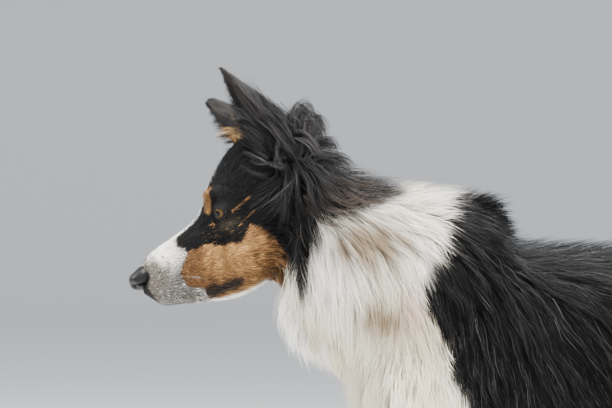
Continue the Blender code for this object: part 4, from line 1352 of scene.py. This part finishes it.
# A fringe along the front edge of each ear. Name: length, share of the ear's own way, lean to the front
FRINGE_PLACES, MANE_LOCKS, WHISKERS = 150, 260, 16
FRINGES = {"ear_left": (0.0088, 0.75, 0.60), "ear_right": (0.0125, 0.40, 0.85)}
for name, (length, along_ear, lean) in FRINGES.items():
    local = np.random.default_rng(90 + len(name))
    base, direction = ear_axis(name)
    own = skin_points[is_in(skin_region, name)]
    along = (own - base) @ direction
    for share in np.linspace(0.02, 0.97, FRINGE_PLACES):
        place = along.min() + share * (along.max() - along.min())
        near = own[np.abs(along - place) < 0.003]
        if not len(near):
            continue
        start = near[in_head(near)[:, 0].argmin()] + HEAD[:, 0] * 0.0015
        way = unit(direction * along_ear - HEAD[:, 0] * lean + 0.12 * local.normal(size=3))
        reach = length * (1 - 0.75 * ease(0.55, 1.0, share)) * local.uniform(0.7, 1.1)
        line = (start, start + way * reach * 0.5, start + way * reach + direction * reach * 0.12)
        tint = BLACK * local.uniform(0.8, 3.0)
        lock(line, 6, 0.0030, 0.00014, tint, new_seed(local), 4, 0.10, close=0.0)

# The bristly mane over the withers
local = np.random.default_rng(77)
for _ in range(MANE_LOCKS):
    x, y = local.uniform(-0.066, -0.012), local.normal() * 0.016
    top = skin_tree.ray_cast(Vector(from_withers((x, y, 0.8))), Vector((0, 0, -1)), 0.5)
    if top[0] is None:
        continue
    foot = np.array(top[0])
    way = unit(np.array((0.85, y * 8, 0.62)) + local.normal(size=3) * 0.18)
    length = local.uniform(0.022, 0.036) * (1 - 0.25 * ease(-0.04, -0.012, x))
    bend = np.array((0.004, 0, -0.004))
    line = (foot, foot + way * length * 0.5 + (0, 0, 0.002), foot + way * length + bend)
    lock(line, 9, 0.0030, 0.00026, BLACK, new_seed(local), steps=4, fray=0.08)


def beside_head(u, n, side, away):
    """Where a line from beside the head, straight across it, meets the skin."""
    origin, across_head = from_head((u, side * away, n)), HEAD @ np.array((0, -side, 0))
    return skin_tree.ray_cast(Vector(origin), Vector(across_head), 0.1)


# Whiskers on the muzzle
for side in (-1, 1):
    for k in range(WHISKERS):
        u0, n0 = local.uniform(0.024, 0.055), local.uniform(-0.030, -0.012)
        hit = beside_head(u0, n0, side, 0.08)
        if hit[0] is None:
            continue
        start = np.array(hit[0])
        way = (local.uniform(0.2, 0.9), side * local.uniform(0.6, 1.0), local.uniform(-0.55, 0.05))
        way = HEAD @ unit(np.array(way))
        length = local.uniform(0.018, 0.038)
        droop = HEAD @ np.array((0.004, 0, -0.003))
        line = (start, start + way * length * 0.5, start + way * length + droop)
        lock(line, 3, 0.0001, 0.00013, WHISKER if k % 2 else BLACK, k, steps=6, fray=0.0, root=1.0)

coats = tufts.build("coat")
triangles = sum(len(coat.data.loops) - 2 * len(coat.data.polygons) for coat in coats)
print("coat", zone_triangles, "triangles", triangles, "in", len(coats), "pieces")


# ---------------------------------------------------------------- the lips
# Across the lips, in their own width: how far up the face and how far out from it
LIP_PROFILE = (
    (2.2, -0.9), (1.5, 0.15), (0.9, 0.45), (0.35, 0.30), (0.08, -0.8),
    (-0.08, -0.8), (-0.35, 0.15), (-0.9, 0.35), (-1.5, 0.10), (-2.2, -0.9),
)


def lip_line(side):
    """Points of the mouth's edge on the skin from the corner to under the nose, with outward normals."""
    points, normals, shares = [], [], []
    for u0 in np.linspace(0.0985, 0.024, 34):
        n0 = float(curve(MOUTH, u0))
        hit = beside_head(u0, n0, side, 0.09)
        if hit[0] is not None:
            points.append(np.array(hit[0]))
            normals.append(np.array(hit[1]))
            shares.append(u0)
    for angle in np.linspace(80, 0, 15):
        a = math.radians(angle)
        way = HEAD @ np.array((-math.cos(a), side * math.sin(a), 0))
        n0 = -0.0190 - 0.0110 * math.sin(a) ** 2
        origin = from_head((0.024, 0, n0)) + way * 0.05
        hit = skin_tree.ray_cast(Vector(origin), Vector(-way), 0.06)
        if hit[0] is not None:
            points.append(np.array(hit[0]))
            normals.append(np.array(hit[1]))
            shares.append(0.010)
    points, normals, shares = np.array(points), np.array(normals), np.array(shares)
    for _ in range(6):
        points[1:-1] = (points[:-2] + 2 * points[1:-1] + points[2:]) / 4
        normals[1:-1] = (normals[:-2] + 2 * normals[1:-1] + normals[2:]) / 4
    return points, unit(normals), shares


def make_lips(side):
    """Two soft dark edges with the slit of the mouth between them."""
    points, normals, shares = lip_line(side)
    along = unit(np.gradient(points, axis=0))
    up = unit(np.cross(normals, along))
    up *= np.sign(up @ (HEAD @ np.array((0, 0, 1))))[:, None]
    wide = np.interp(shares, (0.010, 0.030, 0.055, 0.085, 0.0985), (0.28, 0.22, 0.38, 1.00, 0.45)) * 0.001
    vertices, faces = [], []
    for k in range(len(points)):
        for upward, high in LIP_PROFILE:
            rise = high * min(wide[k], 0.0009) + 0.0006 * (shares[k] > 0.06) - 0.0001
            vertices.append(points[k] + up[k] * upward * wide[k] + normals[k] * rise)
    many = len(LIP_PROFILE)
    for k in range(len(points) - 1):
        for j in range(many - 1):
            faces.append((k * many + j, k * many + j + 1, (k + 1) * many + j + 1, (k + 1) * many + j))
    return mesh_object(f"lips_{'left' if side < 0 else 'right'}", vertices, faces)


# ---------------------------------------------------------------- materials
def principled(name, **inputs):
    material = bpy.data.materials.new(name)
    material.use_nodes = True
    shader = material.node_tree.nodes["Principled BSDF"]
    for key, value in inputs.items():
        shader.inputs[key.replace("_", " ")].default_value = value
    return material


def node(tree, kind, **settings):
    made = tree.nodes.new(kind)
    for key, value in settings.items():
        if key in made.inputs:
            made.inputs[key].default_value = value
        else:
            setattr(made, key, value)
    return made


def colour_from_points(material, layer):
    tree = material.node_tree
    read = node(tree, "ShaderNodeVertexColor", layer_name=layer)
    tree.links.new(read.outputs["Color"], tree.nodes["Principled BSDF"].inputs["Base Color"])


def roughen(material, kind, output, strength, distance, **settings):
    """Bumps a material by a texture laid out in the model's own axes."""
    tree = material.node_tree
    texture = node(tree, kind, **settings)
    bump = node(tree, "ShaderNodeBump", Strength=strength, Distance=distance)
    where = node(tree, "ShaderNodeTexCoord")
    tree.links.new(where.outputs["Object"], texture.inputs["Vector"])
    tree.links.new(texture.outputs[output], bump.inputs["Height"])
    tree.links.new(bump.outputs["Normal"], tree.nodes["Principled BSDF"].inputs["Normal"])


hair = principled("hair", Roughness=0.50, Specular_IOR_Level=0.10)
colour_from_points(hair, "coat")
for obj in coats:
    obj.data.materials.append(hair)

skin_colour, _ = markings(skin_points, skin_normal, skin_region)
# painted shade deep in the coat: the skin is a quarter darker than the hair over it
skin_colour = skin_colour * 0.75
# painted shade in the grooves of the paws
skin_colour = skin_colour * (1 - 0.5 * skin_hollow * is_in(skin_region, "forepaw", "hindpaw"))[:, None]
for side in EYES.values():
    share, distance = slit_share(skin_points, side)
    dark = ((1 - ease(1.25, 1.6, share)) * (distance < 0.018))[:, None]
    skin_colour = skin_colour + dark * (BARE_SKIN - skin_colour)
skin_colour[in_nose(skin_points) < 1.25] = BARE_SKIN
paint(skin_mesh, "coat", skin_colour)
under_coat = principled("skin", Roughness=0.8, Specular_IOR_Level=0.15)
colour_from_points(under_coat, "coat")
roughen(under_coat, "ShaderNodeTexNoise", "Fac", 0.5, 0.0006, Scale=900.0, Detail=3.0)
skin_mesh.materials.clear()
skin_mesh.materials.append(under_coat)

# ---------------------------------------------------------------- eyes and lids
eye_surface = principled("eye", Roughness=0.05, Specular_IOR_Level=0.07)
colour_from_points(eye_surface, "ring")
LID_COLOUR = (0.0045, 0.0042, 0.0042, 1)
lid_skin = principled("lid", Base_Color=LID_COLOUR, Roughness=0.50, Specular_IOR_Level=0.12)

# Angles from the eye's axis at which its rings end, in degrees, and their colours
PUPIL_END, IRIS_END, EDGE_END = 16, 36, 41
PUPIL = (0.002, 0.002, 0.002)
IRIS = np.array((0.074, 0.041, 0.014))
IRIS_EDGE = (0.006, 0.005, 0.004)
EYE_REST = (0.030, 0.018, 0.014)


def eyeball(name, side):
    """A ball with a clear bulge in front, whose colours run in rings round its axis."""
    centre, back, up, look = eye_frame(side)
    rings, turns = 40, 48
    vertices, shades = [], []
    for i in range(rings + 1):
        polar = math.pi * (i / rings) ** 1.25
        for j in range(turns):
            turn = 2 * math.pi * j / turns
            radius = EYE_RADIUS - 0.0004 + 0.0011 * float(ease(0.62, 0.25, np.array(polar)))
            outward = back * math.cos(turn) + up * math.sin(turn)
            direction = look * math.cos(polar) + outward * math.sin(polar)
            vertices.append(centre + direction * radius)
            angle = math.degrees(polar)
            ray = 0.85 + 0.3 * math.sin(17 * turn + 1.3 * math.sin(5 * turn)) * 0.5
            if angle < PUPIL_END:
                shade = PUPIL
            elif angle < IRIS_END:
                across_iris = (angle - PUPIL_END) / (IRIS_END - PUPIL_END)
                shade = tuple(IRIS * ray * (0.40 + 0.8 * math.sin(across_iris * math.pi)))
            elif angle < EDGE_END:
                shade = IRIS_EDGE
            else:
                shade = EYE_REST
            shades.append(shade)
    ball = mesh_object(name, vertices, ring_quads(rings + 1, turns))
    face_out(ball.data)
    paint(ball.data, "ring", np.array(shades))
    ball.data.materials.append(eye_surface)
    return ball


# The rims of the lids, row by row: share as slit_share gives it, and height above the eyeball
LID_ROWS = (
    (0.90, -0.0009), (0.965, -0.0002), (1.00, 0.0003), (1.03, 0.0006), (1.07, 0.0006), (1.12, 0.0003),
    (1.24, -0.0005),
)
UPPER_LID = 0.0006  # how much further out the upper lid stands


def lids(name, side):
    """The rims of the lids: rings round the slit, from behind its edge out to the skin."""
    centre, back, up, look = eye_frame(side)
    turns = 56
    vertices = []
    for share, rise in LID_ROWS:
        for j in range(turns):
            turn = 2 * math.pi * j / turns
            c, s = math.cos(turn), math.sin(turn)
            along = SLIT * share * c
            high = (GAPE_UP if s > 0 else GAPE_DOWN) * share * s - CORNER_DROP * min(along, 0) ** 2
            level = look * (math.cos(along) * math.cos(high)) + back * (math.sin(along) * math.cos(high))
            direction = level + up * math.sin(high)
            vertices.append(centre + direction * (EYE_RADIUS + rise + (UPPER_LID if s > 0 else 0.0)))
    return mesh_object(name, vertices, ring_quads(len(LID_ROWS), turns, flip=True))


eyes = {word: eyeball(f"eyeball_{word}", side) for word, side in EYES.items()}
rims = [lids(f"lids_{word}", side) for word, side in EYES.items()]
rims += [make_lips(side) for side in EYES.values()]
for obj in rims:
    obj.data.materials.append(lid_skin)

# ---------------------------------------------------------------- the nose
LEATHER_COLOUR = (0.0052, 0.005, 0.005, 1)
NOSE_DROP = (0, 0, 0.0036)  # the leather sits this much lower than the solid nose
leather = principled("nose_leather", Base_Color=LEATHER_COLOUR, Roughness=0.42, Specular_IOR_Level=0.17)
roughen(leather, "ShaderNodeTexVoronoi", "Distance", 0.45, 0.0003, Scale=1300.0)


def make_nose():
    """A rounded block, narrower below, with two nostrils, their slits and the groove between them."""
    rows, turns = 60, 84
    polar = np.linspace(0, math.pi, rows + 1)[:, None]
    turn = np.linspace(0, 2 * math.pi, turns, endpoint=False)[None]
    forward = -np.cos(polar) + 0 * turn
    wide = np.sin(polar) * np.cos(turn)
    high = np.sin(polar) * np.sin(turn)
    p = np.stack((forward, wide, high), -1).reshape(-1, 3)
    p = np.sign(p) * np.abs(p) ** 0.86
    p = p * (0.0134, 0.0148, 0.0104) + (0.0126, 0, -0.0030)
    u, v, n = p.T
    p[:, 1] *= 1 - 0.16 * ease(-0.004, -0.014, n)
    p[:, 2] += 0.0030 * ease(0.006, 0.020, u)
    p[:, 0] += 0.0022 * ease(-0.006, -0.014, n) - 0.0006 * ease(0.0, 0.006, n)
    u, v, n = p.T
    push = np.zeros(len(p))
    for side in (-1, 1):
        pit = ((u - 0.0045) / 0.0048) ** 2 + ((v - side * 0.0085) / 0.0038) ** 2
        push = np.maximum(push, np.exp(-(pit + ((n + 0.0045) / 0.0034) ** 2)))
        t = np.clip((u - 0.004) / 0.012, 0, 1)
        slit = np.exp(-(((n + 0.0050 + 0.0030 * t**1.5) / 0.0014) ** 2))
        slit = slit * ease(0.003, 0.006, u) * (1 - ease(0.0150, 0.019, u))
        slit = slit * (np.sign(v) == side) * ease(0.006, 0.010, np.abs(v))
        push = np.maximum(push, 0.55 * slit)
    groove = 0.22 * np.exp(-((v / 0.0008) ** 2)) * ease(0.000, -0.004, n)
    centre = np.array((0.0115, 0, -0.0035))
    inward = unit(centre - p)
    p = p + inward * (0.0060 * push + 0.0048 * groove)[:, None]
    nose = mesh_object("nose_leather", from_head(p - NOSE_DROP), ring_quads(rows + 1, turns, flip=True))
    face_out(nose.data, merge=1e-7)
    nose.data.materials.append(leather)
    return nose


nose = make_nose()

# ---------------------------------------------------------------- claws
horn = principled("claw", Base_Color=(0.05, 0.042, 0.038, 1), Roughness=0.28)
for name, obj in nodes.items():
    if name.startswith("claw"):
        obj.data.materials.clear()
        obj.data.materials.append(horn)

# ---------------------------------------------------------------- what stands for what
flesh_nodes = [name for name in nodes if region_of(name) is not None and name != "nose"]
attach(skin, "root")
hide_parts(*flesh_nodes)
for obj in coats:
    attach(obj, "root")
for word, obj in eyes.items():
    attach(obj, "root")
    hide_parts(f"eye_{word}")
for obj in rims:
    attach(obj, "root")
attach(nose, "root")
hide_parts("nose")

# ---------------------------------------------------------------- floor, light and camera
floor_finish = principled("floor", Base_Color=(0.84, 0.84, 0.83, 1), Roughness=0.9)
# A round floor that curves up into a low wall, so that it looks the same from every side. In metres: the
# radius of its flat part, the radius of the curve and the height of the wall; then the steps round it
FLAT, BEND, RIM, TURNS = 9.0, 2.5, 3.2, 96
bend = [(FLAT + BEND * math.sin(a), BEND * (1 - math.cos(a))) for a in np.linspace(0, math.pi / 2, 16)]
profile = [(FLAT - 0.2, 0.0), *bend, (FLAT + BEND, RIM)]
turned = [2 * math.pi * k / TURNS for k in range(TURNS)]
ring = [(r * math.cos(a), r * math.sin(a), z) for r, z in profile for a in turned]
floor = mesh_object("floor", ring, [tuple(range(TURNS))] + ring_quads(len(profile), TURNS))
floor.data.materials.append(floor_finish)

world = bpy.data.worlds.new("studio")
bpy.context.scene.world = world
world.use_nodes = True
world.node_tree.nodes["Background"].inputs["Color"].default_value = (0.86, 0.91, 1.0, 1)
world.node_tree.nodes["Background"].inputs["Strength"].default_value = 0.75


def area_light(name, place, target, size, power, colour=(1, 1, 1)):
    light = bpy.data.lights.new(name, "AREA")
    light.shape = "DISK"
    light.size, light.energy, light.color = size, power, colour
    obj = new_object(name, light)
    obj.location = place
    obj.rotation_euler = (Vector(target) - Vector(place)).to_track_quat("-Z", "Y").to_euler()


middle = (-0.2, 0, 0.45)
area_light("key", (-0.5, -0.7, 2.8), middle, 1.2, 330, (1.0, 0.98, 0.95))
area_light("rim", (0.7, 1.7, 2.2), middle, 1.0, 70, (0.95, 0.98, 1.0))
area_light("glint", (-2.6, 0.35, 1.75), (-0.33, 0, 0.55), 0.60, 80)
area_light("fill", (-0.8, -2.8, 1.35), middle, 2.0, 34, (0.97, 0.985, 1.0))

DISTANCE = 2.2  # from the camera to the dog's middle
WIDE = 0.612  # what the picture spans at the dog's middle
camera_data = bpy.data.cameras.new("camera")
camera = new_object("camera", camera_data)
camera_data.sensor_width = 36
camera_data.lens = 36 * DISTANCE / WIDE
camera.location = Vector(from_withers((-0.204, -DISTANCE, 0.563)))
camera.rotation_euler = (math.pi / 2, 0, 0)
bpy.context.scene.camera = camera
